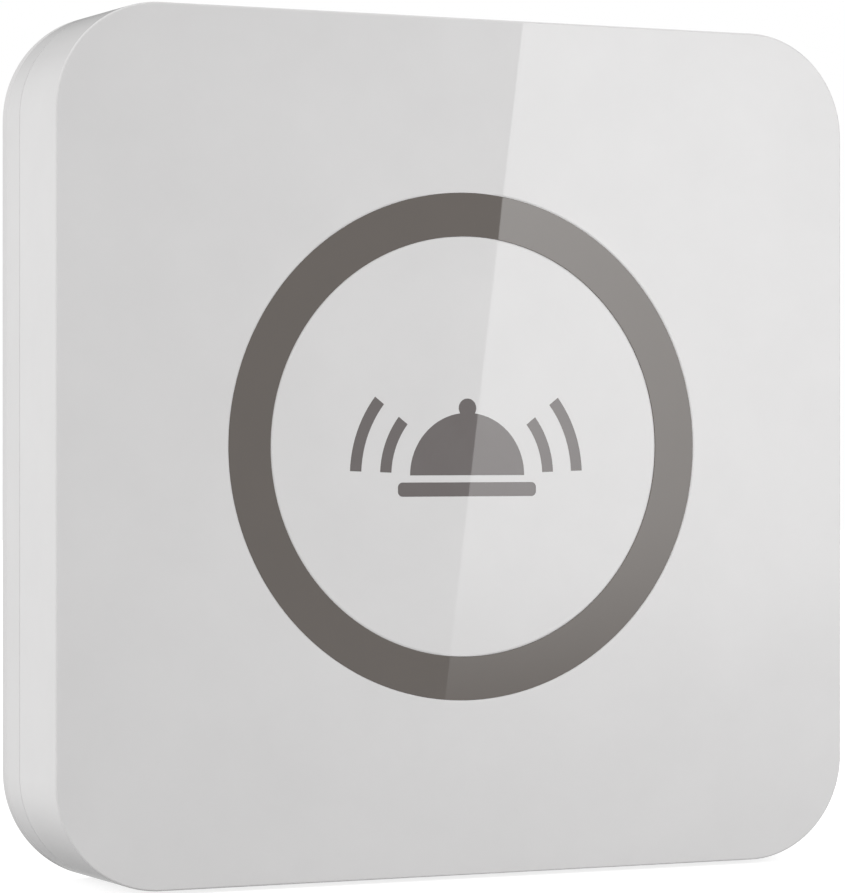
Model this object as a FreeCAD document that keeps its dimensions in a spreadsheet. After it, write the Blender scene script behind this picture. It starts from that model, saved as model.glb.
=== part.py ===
import FreeCAD, Part
import math
import os
import re
import Sketcher

# Waiter call button: a flat square case that stands upright, with a round push cap and a light ring in
# its front face. X points right as seen from the front, Z points up, and the front face looks towards -Y.
# The origin is the centre of the flat back face. A "height" below is the distance in front of that back
# face, so the back face is at height 0 and the front face is at height "depth".

SIZES = {
    # Case
    "case_width": 86.0,  # width and height of the case, at its back face
    "depth": 16.5,  # back face to front face
    "draft": 1.55,  # draft of the side walls, in degrees
    "face_corner": 10.5,  # corner radius of the front face
    "edge_round": 0.3,  # rounding of the front edge
    "cover_depth": 10.9,  # front face to the parting line
    "parting_groove": 0.3,  # gap between the two covers on the outside
    "side_wall": 1.8,  # side wall of the front cover
    "panel_thickness": 2.2,  # front panel
    "floor_thickness": 2.0,  # floor of the back cover
    "lip_thickness": 1.3,  # lip of the back cover inside the front cover
    "lip_overlap": 2.6,  # how far the lip reaches past the parting line
    "lip_gap": 0.1,  # play between lip and front cover
    "seal_rise": 0.8,  # parting line to the housing seal
    "seal_section": 0.9,  # height of the housing seal
    "seal_groove": 0.6,  # depth of its groove in the lip

    # Light ring
    "ring_inner": 21.1,  # inner radius
    "ring_outer": 25.2,  # outer radius
    "ring_flange": 1.2,  # thickness of the visible flange
    "ring_skirt": 1.1,  # wall of the skirt that takes in the light
    "ring_gap": 0.05,  # play round the flange and the skirt

    # Push cap
    "cap_gap": 0.15,  # gap between cap and ring
    "cap_thickness": 1.6,  # plate of the cap
    "cap_edge": 0.4,  # rounding of the cap's edge
    "cap_travel": 1.0,  # full travel of the cap
    "guide_inset": 0.65,  # cap edge to the guide wall behind it
    "guide_wall": 1.0,  # guide wall
    "guide_depth": 2.5,  # length of the guide wall
    "hook_width": 4.0,  # snap hooks that hold the cap under the ring
    "hook_reach": 0.8,  # overlap of each hook under the ring's skirt
    "hook_thickness": 1.2,  # height of a hook's nose
    "hook_play": 0.1,  # hook to the end of the skirt at rest
    "hook_count": 4,  # number of hooks
    "hook_clearance": 0.4,  # hooks to the board at full travel
    "stem_radius": 2.2,  # stem that presses the switch
    "stem_length": 1.57,  # length of that stem
    "stem_play": 0.03,  # stem to plunger at full travel

    # Bell symbol
    "symbol_depth": 0.3,  # depth of the inlay
    "symbol_drop": 0.8,  # cap centre to symbol centre
    "dome_radius": 6.2,  # bell dome
    "dome_rise": 2.1,  # foot of the base bar to the dome
    "base_width": 15.0,  # base bar
    "base_bar": 1.4,  # height of the base bar
    "base_corner": 0.5,  # rounding of the base bar
    "knob_radius": 0.95,  # knob on the dome
    "wave_bar": 1.2,  # width of a sound wave
    "wave_gap": 2.0,  # free space before each wave
    "wave_low": 2.0,  # lower end of a wave, in degrees
    "wave_high": 38.0,  # upper end of a wave, in degrees

    # Return springs and their carrier
    "spring_offset": 9.0,  # spring axis from the cap centre, across and up
    "spring_radius": 1.4,  # mean radius of the coil
    "spring_wire": 0.2,  # wire radius
    "spring_pitch": 1.1,  # rise per turn
    "spring_play": 0.05,  # coil end to its seat
    "spring_pin": 0.9,  # pin on the cap inside each spring
    "spring_pin_length": 1.6,  # length of that pin
    "carrier_gap": 1.4,  # carrier plate to the cap's guide wall
    "carrier_thickness": 0.9,  # carrier plate
    "window_play": 0.5,  # window of the carrier round the switch and its leads
    "cup_radius": 1.9,  # inside of a spring cup
    "cup_wall": 0.9,  # wall of a spring cup
    "cup_height": 1.4,  # cup above the carrier plate
    "peg_radius": 0.9,  # pegs that locate the carrier in the board
    "peg_pitch": 30.0,  # distance between the two pegs

    # Push switch
    "switch_width": 6.0,  # side of the square body
    "switch_plate": 0.25,  # steel cover
    "plunger_radius": 1.7,  # round plunger
    "plunger_rise": 0.75,  # plunger above the steel cover
    "plunger_travel": 0.3,  # travel of the plunger
    "plunger_root": 0.95,  # plunger inside the body
    "plunger_gap": 0.1,  # play round the plunger
    "lead_length": 1.3,  # solder lead
    "lead_width": 0.7,  # solder lead
    "lead_thickness": 0.2,  # solder lead
    "lead_pitch": 4.5,  # distance between the leads of one side

    # Circuit board
    "board_thickness": 1.6,  # board
    "board_side": 17.0,  # outside of the case to the board's side edges
    "board_end": 10.0,  # outside of the case to the board's top and bottom edges
    "board_corner": 2.0,  # corner radius of the board
    "post_radius": 2.4,  # posts under the board
    "post_inset": 3.5,  # board edges to the posts
    "led_width": 2.8,  # indicator light
    "led_length": 3.5,  # indicator light
    "led_height": 0.9,  # indicator light
    "led_count": 4,  # number of indicator lights

    # Electronics
    "chip_length": 9.9,  # controller
    "chip_width": 3.9,  # controller
    "chip_height": 1.5,  # controller
    "chip_across": -10.0,  # centre of the controller
    "chip_up": 3.0,  # centre of the controller
    "pin_span": 6.0,  # controller, tip to tip of its pins
    "pin_width": 0.42,  # controller pin
    "pin_pitch": 1.27,  # controller pins
    "pin_rows": 7,  # pins on one side
    "radio_side": 4.0,  # radio chip
    "radio_height": 0.9,  # radio chip
    "radio_across": 10.0,  # centre of the radio chip
    "crystal_length": 11.0,  # crystal can
    "crystal_width": 4.6,  # crystal can
    "crystal_height": 3.4,  # crystal can
    "crystal_corner": 2.2,  # corner radius of the crystal can
    "crystal_rise": 8.0,  # radio chip to crystal
    "passive_length": 2.0,  # chip resistor or capacitor
    "passive_width": 1.25,  # chip resistor or capacitor
    "resistor_height": 0.55,  # chip resistor
    "capacitor_height": 1.0,  # chip capacitor
    "passive_pitch": 3.4,  # distance between two in a row
    "passive_count": 5,  # number in a row
    "resistor_rise": 7.0,  # controller to the row of resistors
    "capacitor_rise": 11.0,  # controller to the row of capacitors
    "aerial_headroom": 1.05,  # aerial coil to the front panel
    "aerial_wire": 0.35,  # wire radius of the aerial
    "aerial_pitch": 1.3,  # rise per turn of the aerial
    "aerial_length": 15.6,  # length of the aerial coil
    "aerial_inset": 4.6,  # top edge of the board to the aerial's axis
    "aerial_lift": 0.05,  # board to the aerial

    # Battery
    "cell_radius": 10.0,  # coin cell
    "cell_thickness": 3.2,  # coin cell
    "cell_step": 0.4,  # height of the cell's negative cap
    "cell_step_inset": 1.2,  # cell edge to its negative cap
    "battery_drop": 18.0,  # case centre to battery centre
    "holder_gap": 0.2,  # play round the cell
    "holder_wall": 1.3,  # wall of the holder
    "contact_thickness": 0.25,  # contact springs
    "contact_width": 5.0,  # contact springs
    "contact_arm": 6.0,  # positive contact over the cell
    "contact_strip": 15.0,  # negative contact under the cell
    "contact_play": 0.2,  # cut in the holder round the positive contact
    "clip_clearance": 0.2,  # positive contact to the lid's lugs

    # Battery lid
    "lid_rim": 1.8,  # bayonet lugs to the edge of the lid's plate
    "lid_plate": 1.0,  # plate of the lid
    "lid_gap": 0.15,  # play round the lid
    "neck_margin": 1.4,  # cell holder to the edge of the lid's neck, which passes the floor
    "bayonet_reach": 1.8,  # bayonet lugs past the neck
    "bayonet_width": 5.0,  # bayonet lugs
    "bayonet_thickness": 0.75,  # bayonet lugs
    "bayonet_play": 0.05,  # lugs to the floor
    "bayonet_count": 3,  # number of lugs
    "notch_play": 0.6,  # width of a notch in the floor past its lug
    "slot_length": 14.0,  # coin slot
    "slot_width": 2.0,  # coin slot
    "slot_depth": 1.4,  # coin slot
    "gasket_width": 0.9,  # gasket of the lid
    "gasket_depth": 0.5,  # gasket of the lid
    "gasket_inset": 0.4,  # lid edge to the gasket

    # Fasteners and the back
    "screw_inset": 9.5,  # outside of the case to the cover screws
    "screw_radius": 1.2,  # shank of a cover screw
    "screw_head": 2.5,  # head radius of a cover screw
    "screw_head_height": 1.5,  # head of a cover screw
    "screw_length": 9.0,  # shank of a cover screw
    "screw_sink": 1.5,  # back face to the screw head
    "head_play": 0.15,  # play round the screw head in its well
    "boss_radius": 3.2,  # bosses for the cover screws
    "boss_joint": 1.4,  # parting line to where the bosses meet
    "board_screw_radius": 0.95,  # shank of a board screw
    "board_screw_head": 1.9,  # head radius of a board screw
    "board_screw_head_height": 1.1,  # head of a board screw
    "board_screw_length": 5.0,  # shank of a board screw
    "shank_play": 0.3,  # through holes round the shanks
    "thread_play": 0.05,  # pilot holes round the shanks
    "tip_room": 0.8,  # pilot hole past the end of a screw
    "recess_arm": 0.8,  # arm width of the cross recess, as a share of the shank radius
    "recess_reach": 2.4,  # length of the cross recess, as a share of the shank radius
    "recess_depth": 0.8,  # depth of the cross recess
    "wall_pitch": 60.0,  # distance between the wall holes
    "wall_hole": 2.1,  # radius of a wall hole
    "label_width": 44.0,  # bare label recess
    "label_tall": 14.0,  # bare label recess
    "label_depth": 0.25,  # bare label recess
    "label_up": 24.0,  # case centre to the label recess
}

doc = FreeCAD.newDocument("CallButton")
sheet = doc.addObject("Spreadsheet::Sheet", "Sizes")
for row, (alias, value) in enumerate(SIZES.items(), start=1):
    sheet.set(f"A{row}", alias)
    sheet.set(f"B{row}", str(value))
    sheet.setAlias(f"B{row}", alias)
doc.recompute()

# Heights and radii that several pieces share, as expressions of the sheet's sizes.
FACE_WIDTH = "(case_width - 2 * depth * tan(draft))"
PARTING = "(depth - cover_depth)"
PARTING_WIDTH = f"({FACE_WIDTH} + 2 * cover_depth * tan(draft))"
PANEL_BACK = "(depth - panel_thickness)"
CAVITY_WIDTH = f"({FACE_WIDTH} - 2 * side_wall)"
CAVITY_CORNER = "(face_corner - side_wall)"
LIP_WIDTH = f"({CAVITY_WIDTH} - 2 * lip_gap)"
LIP_CORNER = f"({CAVITY_CORNER} - lip_gap)"
LIP_TOP = f"({PARTING} + lip_overlap)"
SEAL_BACK = f"({PARTING} + seal_rise)"
SEAL_FRONT = f"({SEAL_BACK} + seal_section)"
BOSS_JOINT = f"({PARTING} + boss_joint)"
SCREW_PITCH = "(case_width - 2 * screw_inset)"
SCREW_SEAT = "(screw_sink + screw_head_height)"
SCREW_TIP = f"({SCREW_SEAT} + screw_length)"
LUG_BACK = "(floor_thickness + bayonet_play)"
LUG_FRONT = f"({LUG_BACK} + bayonet_thickness)"
CLIP_BACK = f"({LUG_FRONT} + clip_clearance)"
CELL_BACK = f"({CLIP_BACK} + contact_thickness)"
CELL_FRONT = f"({CELL_BACK} + cell_thickness)"
BOARD_BACK = f"({CELL_FRONT} + contact_thickness)"
BOARD_FRONT = f"({BOARD_BACK} + board_thickness)"
BOARD_SCREW_TIP = f"({BOARD_FRONT} - board_screw_length)"
CARRIER_FRONT = f"({BOARD_FRONT} + carrier_thickness)"
HOOK_BACK = f"({BOARD_FRONT} + hook_clearance + cap_travel)"
HOOK_FRONT = f"({HOOK_BACK} + hook_thickness)"
RING_BACK = f"({HOOK_FRONT} + hook_play)"
CAP_BACK = "(depth - cap_thickness)"
STEM_TIP = f"({CAP_BACK} - stem_length)"
PLUNGER_TIP = f"({STEM_TIP} - stem_play - cap_travel + plunger_travel)"
SWITCH_TOP = f"({PLUNGER_TIP} - plunger_rise)"
SKIRT_OUTER = "(ring_inner + ring_skirt)"
CAP_RADIUS = "(ring_inner - cap_gap)"
GUIDE_OUTER = f"({CAP_RADIUS} - guide_inset)"
GUIDE_INNER = f"({GUIDE_OUTER} - guide_wall)"
BOARD_WIDTH = "(case_width - 2 * board_side)"
BOARD_TALL = "(case_width - 2 * board_end)"
POSTS_ACROSS = f"({BOARD_WIDTH} - 2 * post_inset)"
POSTS_UP = f"({BOARD_TALL} - 2 * post_inset)"
AERIAL_BACK = f"({BOARD_FRONT} + aerial_lift)"
AERIAL_RADIUS = f"(({PANEL_BACK} - aerial_headroom - {AERIAL_BACK}) / 2 - aerial_wire)"
HOLDER_INNER = "(cell_radius + holder_gap)"
HOLDER_OUTER = f"({HOLDER_INNER} + holder_wall)"
NECK_RADIUS = f"({HOLDER_OUTER} + neck_margin)"
LUG_RADIUS = f"({NECK_RADIUS} + bayonet_reach)"
LID_RADIUS = f"({LUG_RADIUS} + lid_rim)"
GASKET_OUTER = f"({LID_RADIUS} - gasket_inset)"


def tied(expression):
    """The expression with every size pointed at its cell in the sheet."""
    return re.sub(
        r"[a-z][a-z_]*",
        lambda word: f"Sizes.{word[0]}" if word[0] in SIZES else word[0],
        expression,
    )


def number(expression):
    """What the expression comes to with the sheet's present sizes."""
    result = sheet.evalExpression(expression)
    return float(getattr(result, "Value", result))


def new_body(name):
    body = doc.addObject("PartDesign::Body", name)
    body.Label = name
    body.AllowCompound = True
    return body


def new_sketch(body, name, plane_role):
    drawing = body.newObject("Sketcher::SketchObject", f"{body.Name}_{name}")
    plane = [feature for feature in body.Origin.OriginFeatures if feature.Role == plane_role][0]
    drawing.AttachmentSupport = (plane, "")
    drawing.MapMode = "FlatFace"
    return drawing


def face_sketch(body, name, height, across="0", up="0"):
    """A sketch parallel to the front face, at a height in front of the back face."""
    drawing = new_sketch(body, name, "XZ_Plane")
    drawing.setExpression("AttachmentOffset.Base.x", tied(across))
    drawing.setExpression("AttachmentOffset.Base.y", tied(up))
    drawing.setExpression("AttachmentOffset.Base.z", tied(height))
    return drawing


def hold(drawing, kind, *places, size):
    """A dimension in a sketch that follows an expression."""
    index = drawing.addConstraint(Sketcher.Constraint(kind, *places, number(size)))
    drawing.setExpression(f"Constraints[{index}]", tied(size))


def hold_angle(drawing, line, degrees):
    radians = math.radians(number(degrees))
    index = drawing.addConstraint(Sketcher.Constraint("Angle", line, radians))
    drawing.setExpression(f"Constraints[{index}]", f"({tied(degrees)}) * 1 deg")


def place_point(drawing, curve, point, across, up):
    """Fixes a point of a curve at a distance from the sketch's origin."""
    hold(drawing, "DistanceX", -1, 1, curve, point, size=across)
    hold(drawing, "DistanceY", -1, 1, curve, point, size=up)


def circle(drawing, radius, across="0", up="0"):
    centre = FreeCAD.Vector(number(across), number(up), 0)
    curve = drawing.addGeometry(Part.Circle(centre, FreeCAD.Vector(0, 0, 1), number(radius)))
    hold(drawing, "Radius", curve, size=radius)
    place_point(drawing, curve, 3, across, up)


def four_circles(drawing, radius, pitch_across, pitch_up):
    """One circle at each corner of a rectangle."""
    for side in (-0.5, 0.5):
        for end in (-0.5, 0.5):
            circle(drawing, radius, f"{side} * {pitch_across}", f"{end} * {pitch_up}")


def rectangle(drawing, width, tall, across="0", up="0"):
    left = number(f"{across} - ({width}) / 2")
    right = number(f"{across} + ({width}) / 2")
    low = number(f"{up} - ({tall}) / 2")
    high = number(f"{up} + ({tall}) / 2")
    corners = [
        FreeCAD.Vector(x, y, 0) for x, y in ((left, low), (right, low), (right, high), (left, high))
    ]
    sides = [
        drawing.addGeometry(Part.LineSegment(corners[k], corners[(k + 1) % 4])) for k in range(4)
    ]
    for k in range(4):
        drawing.addConstraint(Sketcher.Constraint("Coincident", sides[k], 2, sides[(k + 1) % 4], 1))
        drawing.addConstraint(Sketcher.Constraint(("Horizontal", "Vertical")[k % 2], sides[k]))
    hold(drawing, "DistanceX", sides[0], 1, sides[0], 2, size=width)
    hold(drawing, "DistanceY", sides[1], 1, sides[1], 2, size=tall)
    place_point(drawing, sides[0], 1, f"{across} - ({width}) / 2", f"{up} - ({tall}) / 2")


def rounded_rectangle(drawing, width, tall, radius, up="0"):
    """A rectangle with round corners, centred across."""
    r = number(radius)
    x = number(width) / 2
    y = number(tall) / 2
    middle = number(up)
    axis = FreeCAD.Vector(0, 0, 1)

    def at(across, height):
        return FreeCAD.Vector(across, middle + height, 0)

    def corner(across, height, start):
        whole = Part.Circle(at(across, height), axis, r)
        return Part.ArcOfCircle(whole, math.radians(start), math.radians(start + 90))

    pieces = [
        Part.LineSegment(at(r - x, -y), at(x - r, -y)),
        corner(x - r, r - y, 270),
        Part.LineSegment(at(x, r - y), at(x, y - r)),
        corner(x - r, y - r, 0),
        Part.LineSegment(at(x - r, y), at(r - x, y)),
        corner(r - x, y - r, 90),
        Part.LineSegment(at(-x, y - r), at(-x, r - y)),
        corner(r - x, r - y, 180),
    ]
    edges = [drawing.addGeometry(piece) for piece in pieces]
    for k in range(8):
        drawing.addConstraint(Sketcher.Constraint("Tangent", edges[k], 2, edges[(k + 1) % 8], 1))
    for k in (0, 4):
        drawing.addConstraint(Sketcher.Constraint("Horizontal", edges[k]))
        drawing.addConstraint(Sketcher.Constraint("Vertical", edges[k + 2]))
    for k in (3, 5, 7):
        drawing.addConstraint(Sketcher.Constraint("Equal", edges[1], edges[k]))
    hold(drawing, "Radius", edges[1], size=radius)
    hold(drawing, "DistanceX", edges[6], 1, edges[2], 2, size=width)
    hold(drawing, "DistanceY", edges[0], 1, edges[4], 2, size=tall)
    place_point(drawing, edges[2], 1, f"({width}) / 2", f"{up} + ({radius}) - ({tall}) / 2")


def half_disc(drawing, radius):
    """The upper half of a disc about the sketch's origin."""
    r = number(radius)
    whole = Part.Circle(FreeCAD.Vector(0, 0, 0), FreeCAD.Vector(0, 0, 1), r)
    arc = drawing.addGeometry(Part.ArcOfCircle(whole, 0, math.pi))
    foot = drawing.addGeometry(Part.LineSegment(FreeCAD.Vector(-r, 0, 0), FreeCAD.Vector(r, 0, 0)))
    drawing.addConstraint(Sketcher.Constraint("Coincident", arc, 2, foot, 1))
    drawing.addConstraint(Sketcher.Constraint("Coincident", arc, 1, foot, 2))
    drawing.addConstraint(Sketcher.Constraint("Coincident", arc, 3, -1, 1))
    drawing.addConstraint(Sketcher.Constraint("PointOnObject", arc, 1, -1))
    drawing.addConstraint(Sketcher.Constraint("PointOnObject", arc, 2, -1))
    hold(drawing, "Radius", arc, size=radius)


def bent_bar(drawing, inner, outer, start, end):
    """A bar bent round the sketch's origin, between two radii and two angles in degrees."""
    first = math.radians(number(start))
    last = math.radians(number(end))
    origin = FreeCAD.Vector(0, 0, 0)

    def arc(radius):
        whole = Part.Circle(origin, FreeCAD.Vector(0, 0, 1), number(radius))
        curve = drawing.addGeometry(Part.ArcOfCircle(whole, first, last))
        drawing.addConstraint(Sketcher.Constraint("Coincident", curve, 3, -1, 1))
        hold(drawing, "Radius", curve, size=radius)
        return curve

    def spoke(angle, degrees, arc_end):
        along = FreeCAD.Vector(math.cos(angle), math.sin(angle), 0)
        line = drawing.addGeometry(Part.LineSegment(along * number(inner), along * number(outer)))
        drawing.addConstraint(Sketcher.Constraint("Coincident", near, arc_end, line, 1))
        drawing.addConstraint(Sketcher.Constraint("Coincident", far, arc_end, line, 2))
        drawing.addConstraint(Sketcher.Constraint("PointOnObject", -1, 1, line))
        hold_angle(drawing, line, degrees)

    near = arc(inner)
    far = arc(outer)
    spoke(first, start, 1)
    spoke(last, end, 2)


def add(body, name, bottom, top, draw, across="0", up="0", taper=None):
    """Pads what draw() draws, from one height to another."""
    drawing = face_sketch(body, name, bottom, across, up)
    draw(drawing)
    feature = body.newObject("PartDesign::Pad", f"{body.Name}_{name}_pad")
    feature.Profile = drawing
    feature.setExpression("Length", tied(f"({top}) - ({bottom})"))
    if taper:
        feature.setExpression("TaperAngle", tied(taper))
    body.Tip = feature
    doc.recompute()
    return feature


def cut(body, name, bottom, top, draw, across="0", up="0"):
    """Cuts what draw() draws out of the body, from one height to another."""
    drawing = face_sketch(body, name, top, across, up)
    draw(drawing)
    before = body.Shape.Volume
    feature = body.newObject("PartDesign::Pocket", f"{body.Name}_{name}_cut")
    feature.Profile = drawing
    feature.setExpression("Length", tied(f"({top}) - ({bottom})"))
    body.Tip = feature
    doc.recompute()
    if body.Shape.Volume >= before:
        raise RuntimeError(f"{feature.Name} cuts nothing")
    return feature


def repeat_round(body, feature, count):
    """Copies a feature round the normal through its own sketch's origin."""
    pattern = body.newObject("PartDesign::PolarPattern", f"{feature.Name}_round")
    pattern.Originals = [feature]
    pattern.Axis = (feature.Profile[0], ["N_Axis"])
    pattern.Angle = 360
    pattern.setExpression("Occurrences", tied(count))
    body.Tip = pattern
    doc.recompute()
    return pattern


def ring(drawing, inner, outer):
    circle(drawing, outer)
    circle(drawing, inner)


def cross_recess(body, top, pitch_across, pitch_up, shank):
    """A cross recess in each screw head, from the head's outer face."""
    bar = f"recess_arm * {shank}"
    reach = f"recess_reach * {shank}"
    for name, width, tall in (("recess_across", reach, bar), ("recess_up", bar, reach)):
        def slots(drawing):
            for side in (-0.5, 0.5):
                for end in (-0.5, 0.5):
                    rectangle(drawing, width, tall, f"{side} * {pitch_across}", f"{end} * {pitch_up}")
        cut(body, name, f"{top} - recess_depth", top, slots)


def front_cover():
    """Gloss shell: front panel, four drafted sides, ring seat and screw bosses."""
    body = new_body("front_cover")
    corner = f"(face_corner + ({PARTING_WIDTH} - {FACE_WIDTH}) / 2)"
    shell = add(body, "shell", PARTING, "depth",
                lambda s: rounded_rectangle(s, PARTING_WIDTH, PARTING_WIDTH, corner), taper="-draft")
    front_edges = [
        f"Edge{k + 1}" for k, edge in enumerate(shell.Shape.Edges)
        if abs(edge.BoundBox.YMax + number("depth")) < 0.001
    ]
    rounding = body.newObject("PartDesign::Fillet", "front_cover_edge")
    rounding.Base = (shell, front_edges)
    rounding.setExpression("Radius", tied("edge_round"))
    body.Tip = rounding
    doc.recompute()
    cut(body, "cavity", PARTING, PANEL_BACK,
        lambda s: rounded_rectangle(s, CAVITY_WIDTH, CAVITY_WIDTH, CAVITY_CORNER))
    cut(body, "ring_seat", "depth - ring_flange", "depth",
        lambda s: circle(s, "ring_outer + ring_gap"))
    cut(body, "ring_hole", PANEL_BACK, "depth - ring_flange",
        lambda s: circle(s, f"{SKIRT_OUTER} + ring_gap"))
    add(body, "bosses", BOSS_JOINT, PANEL_BACK,
        lambda s: four_circles(s, "boss_radius", SCREW_PITCH, SCREW_PITCH))
    cut(body, "pilot_holes", BOSS_JOINT, f"{SCREW_TIP} + tip_room",
        lambda s: four_circles(s, "screw_radius + thread_play", SCREW_PITCH, SCREW_PITCH))


def light_ring():
    """Smoked light guide: a flush flange and a skirt that reaches back to the lights."""
    body = new_body("light_ring")
    add(body, "flange", "depth - ring_flange", "depth",
        lambda s: ring(s, "ring_inner", "ring_outer"))
    add(body, "skirt", RING_BACK, "depth - ring_flange",
        lambda s: ring(s, "ring_inner", SKIRT_OUTER))


def symbol(body, make):
    """A counter bell with sound waves: make() adds it as an inlay or cuts its recess."""
    bottom = "depth - symbol_depth"
    foot = "(-symbol_drop - dome_radius / 2 - dome_rise / 2)"
    centre = f"({foot} + dome_rise)"
    make(body, "base_bar", bottom, "depth",
         lambda s: rounded_rectangle(s, "base_width", "base_bar", "base_corner"),
         up=f"{foot} + base_bar / 2")
    make(body, "dome", bottom, "depth", lambda s: half_disc(s, "dome_radius"), up=centre)
    make(body, "knob", bottom, "depth", lambda s: circle(s, "knob_radius"),
         up=f"{centre} + dome_radius + knob_radius / 2")
    for number_out in (1, 2):
        inner = f"(dome_radius + {number_out} * wave_gap + {number_out - 1} * wave_bar)"

        def waves(drawing):
            outer = f"({inner} + wave_bar)"
            bent_bar(drawing, inner, outer, "wave_low", "wave_high")
            bent_bar(drawing, inner, outer, "180 - wave_high", "180 - wave_low")

        make(body, f"waves_{number_out}", bottom, "depth", waves, up=centre)


def call_button():
    """Push cap: plate, guide wall, snap hooks, switch stem and spring pins."""
    body = new_body("call_button")
    plate = add(body, "plate", CAP_BACK, "depth", lambda s: circle(s, CAP_RADIUS))
    rim = [
        f"Edge{k + 1}" for k, edge in enumerate(plate.Shape.Edges)
        if abs(edge.BoundBox.YMax + number("depth")) < 0.001
    ]
    rounding = body.newObject("PartDesign::Fillet", "call_button_edge")
    rounding.Base = (plate, rim)
    rounding.setExpression("Radius", tied("cap_edge"))
    body.Tip = rounding
    doc.recompute()
    add(body, "guide", f"{CAP_BACK} - guide_depth", CAP_BACK,
        lambda s: ring(s, GUIDE_INNER, GUIDE_OUTER))
    add(body, "stem", STEM_TIP, CAP_BACK, lambda s: circle(s, "stem_radius"))
    add(body, "pins", f"{CAP_BACK} - spring_pin_length", CAP_BACK,
        lambda s: four_circles(s, "spring_pin", "2 * spring_offset", "2 * spring_offset"))
    leg_inner = f"sqrt(({GUIDE_INNER}) ^ 2 - (hook_width / 2) ^ 2)"
    leg_outer = f"sqrt(({GUIDE_OUTER}) ^ 2 - (hook_width / 2) ^ 2)"
    nose = f"sqrt((ring_inner + hook_reach) ^ 2 - (hook_width / 2) ^ 2)"
    leg = add(body, "leg", HOOK_BACK, f"{CAP_BACK} - guide_depth / 2",
              lambda s: rectangle(s, f"{leg_outer} - {leg_inner}", "hook_width",
                                  f"({leg_outer} + {leg_inner}) / 2"))
    repeat_round(body, leg, "hook_count")
    hook = add(body, "hook", HOOK_BACK, HOOK_FRONT,
               lambda s: rectangle(s, f"{nose} - {leg_inner}", "hook_width",
                                   f"({nose} + {leg_inner}) / 2"))
    repeat_round(body, hook, "hook_count")
    symbol(body, cut)


def call_symbol():
    """Grey bell inlay, flush with the cap."""
    symbol(new_body("call_symbol"), add)


def coil(body, name, axis, radius, wire, pitch, length, across, height, up):
    """A helix of round wire about the V axis (front to back) or the H axis (across) of a level sketch."""
    drawing = new_sketch(body, name, "XY_Plane")
    drawing.setExpression("AttachmentOffset.Base.x", tied(across))
    drawing.setExpression("AttachmentOffset.Base.y", tied(f"-({height})"))
    drawing.setExpression("AttachmentOffset.Base.z", tied(up))
    if axis == "V_Axis":
        circle(drawing, wire, across=radius)
    else:
        circle(drawing, wire, up=radius)
    helix = body.newObject("PartDesign::AdditiveHelix", f"{body.Name}_{name}_helix")
    helix.Profile = drawing
    helix.ReferenceAxis = (drawing, [axis])
    helix.Mode = "pitch-height-angle"
    helix.setExpression("Pitch", tied(pitch))
    helix.setExpression("Height", tied(length))
    body.Tip = helix
    doc.recompute()
    return helix


def return_springs():
    """Four coil springs between the carrier's cups and the cap."""
    body = new_body("return_springs")
    room = f"({CAP_BACK} - {CARRIER_FRONT} - 2 * (spring_wire + spring_play))"
    spring = coil(body, "spring", "V_Axis", "spring_radius", "spring_wire", "spring_pitch", room,
                  "spring_offset", f"{CAP_BACK} - spring_wire - spring_play", "spring_offset")
    pattern = body.newObject("PartDesign::PolarPattern", "return_springs_round")
    pattern.Originals = [spring]
    axis = [feature for feature in body.Origin.OriginFeatures if feature.Role == "Y_Axis"][0]
    pattern.Axis = (axis, [""])
    pattern.Angle = 360
    pattern.Occurrences = 4
    body.Tip = pattern
    doc.recompute()


def spring_carrier():
    """Plate on the board that locates the springs, with a window for the switch."""
    body = new_body("spring_carrier")
    add(body, "plate", BOARD_FRONT, CARRIER_FRONT,
        lambda s: circle(s, f"{GUIDE_INNER} - carrier_gap"))
    add(body, "cups", BOARD_FRONT, f"{CARRIER_FRONT} + cup_height",
        lambda s: four_circles(s, "cup_radius + cup_wall", "2 * spring_offset", "2 * spring_offset"))
    cut(body, "cup_bores", CARRIER_FRONT, f"{CARRIER_FRONT} + cup_height",
        lambda s: four_circles(s, "cup_radius", "2 * spring_offset", "2 * spring_offset"))
    cut(body, "window", BOARD_FRONT, CARRIER_FRONT,
        lambda s: rectangle(s, "switch_width + 2 * (lead_length + window_play)",
                            "switch_width + 2 * window_play"))

    def pegs(drawing):
        circle(drawing, "peg_radius", "peg_pitch / 2")
        circle(drawing, "peg_radius", "-peg_pitch / 2")

    add(body, "pegs", BOARD_BACK, BOARD_FRONT, pegs)


def switch_base():
    """Moulded body of the push switch, with the bore that the plunger slides in."""
    body = new_body("switch_base")
    add(body, "block", BOARD_FRONT, f"{SWITCH_TOP} - switch_plate",
        lambda s: rectangle(s, "switch_width", "switch_width"))
    cut(body, "bore", f"{SWITCH_TOP} - switch_plate - plunger_root - plunger_travel",
        f"{SWITCH_TOP} - switch_plate", lambda s: circle(s, "plunger_radius + plunger_gap"))


def switch_cover():
    """Steel plate that closes the push switch."""
    body = new_body("switch_cover")
    add(body, "plate", f"{SWITCH_TOP} - switch_plate", SWITCH_TOP,
        lambda s: rectangle(s, "switch_width", "switch_width"))
    cut(body, "hole", f"{SWITCH_TOP} - switch_plate", SWITCH_TOP,
        lambda s: circle(s, "plunger_radius + plunger_gap"))


def switch_plunger():
    """Round plunger that the cap's stem presses."""
    body = new_body("switch_plunger")
    add(body, "pin", f"{SWITCH_TOP} - switch_plate - plunger_root + plunger_gap", PLUNGER_TIP,
        lambda s: circle(s, "plunger_radius"))


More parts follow.
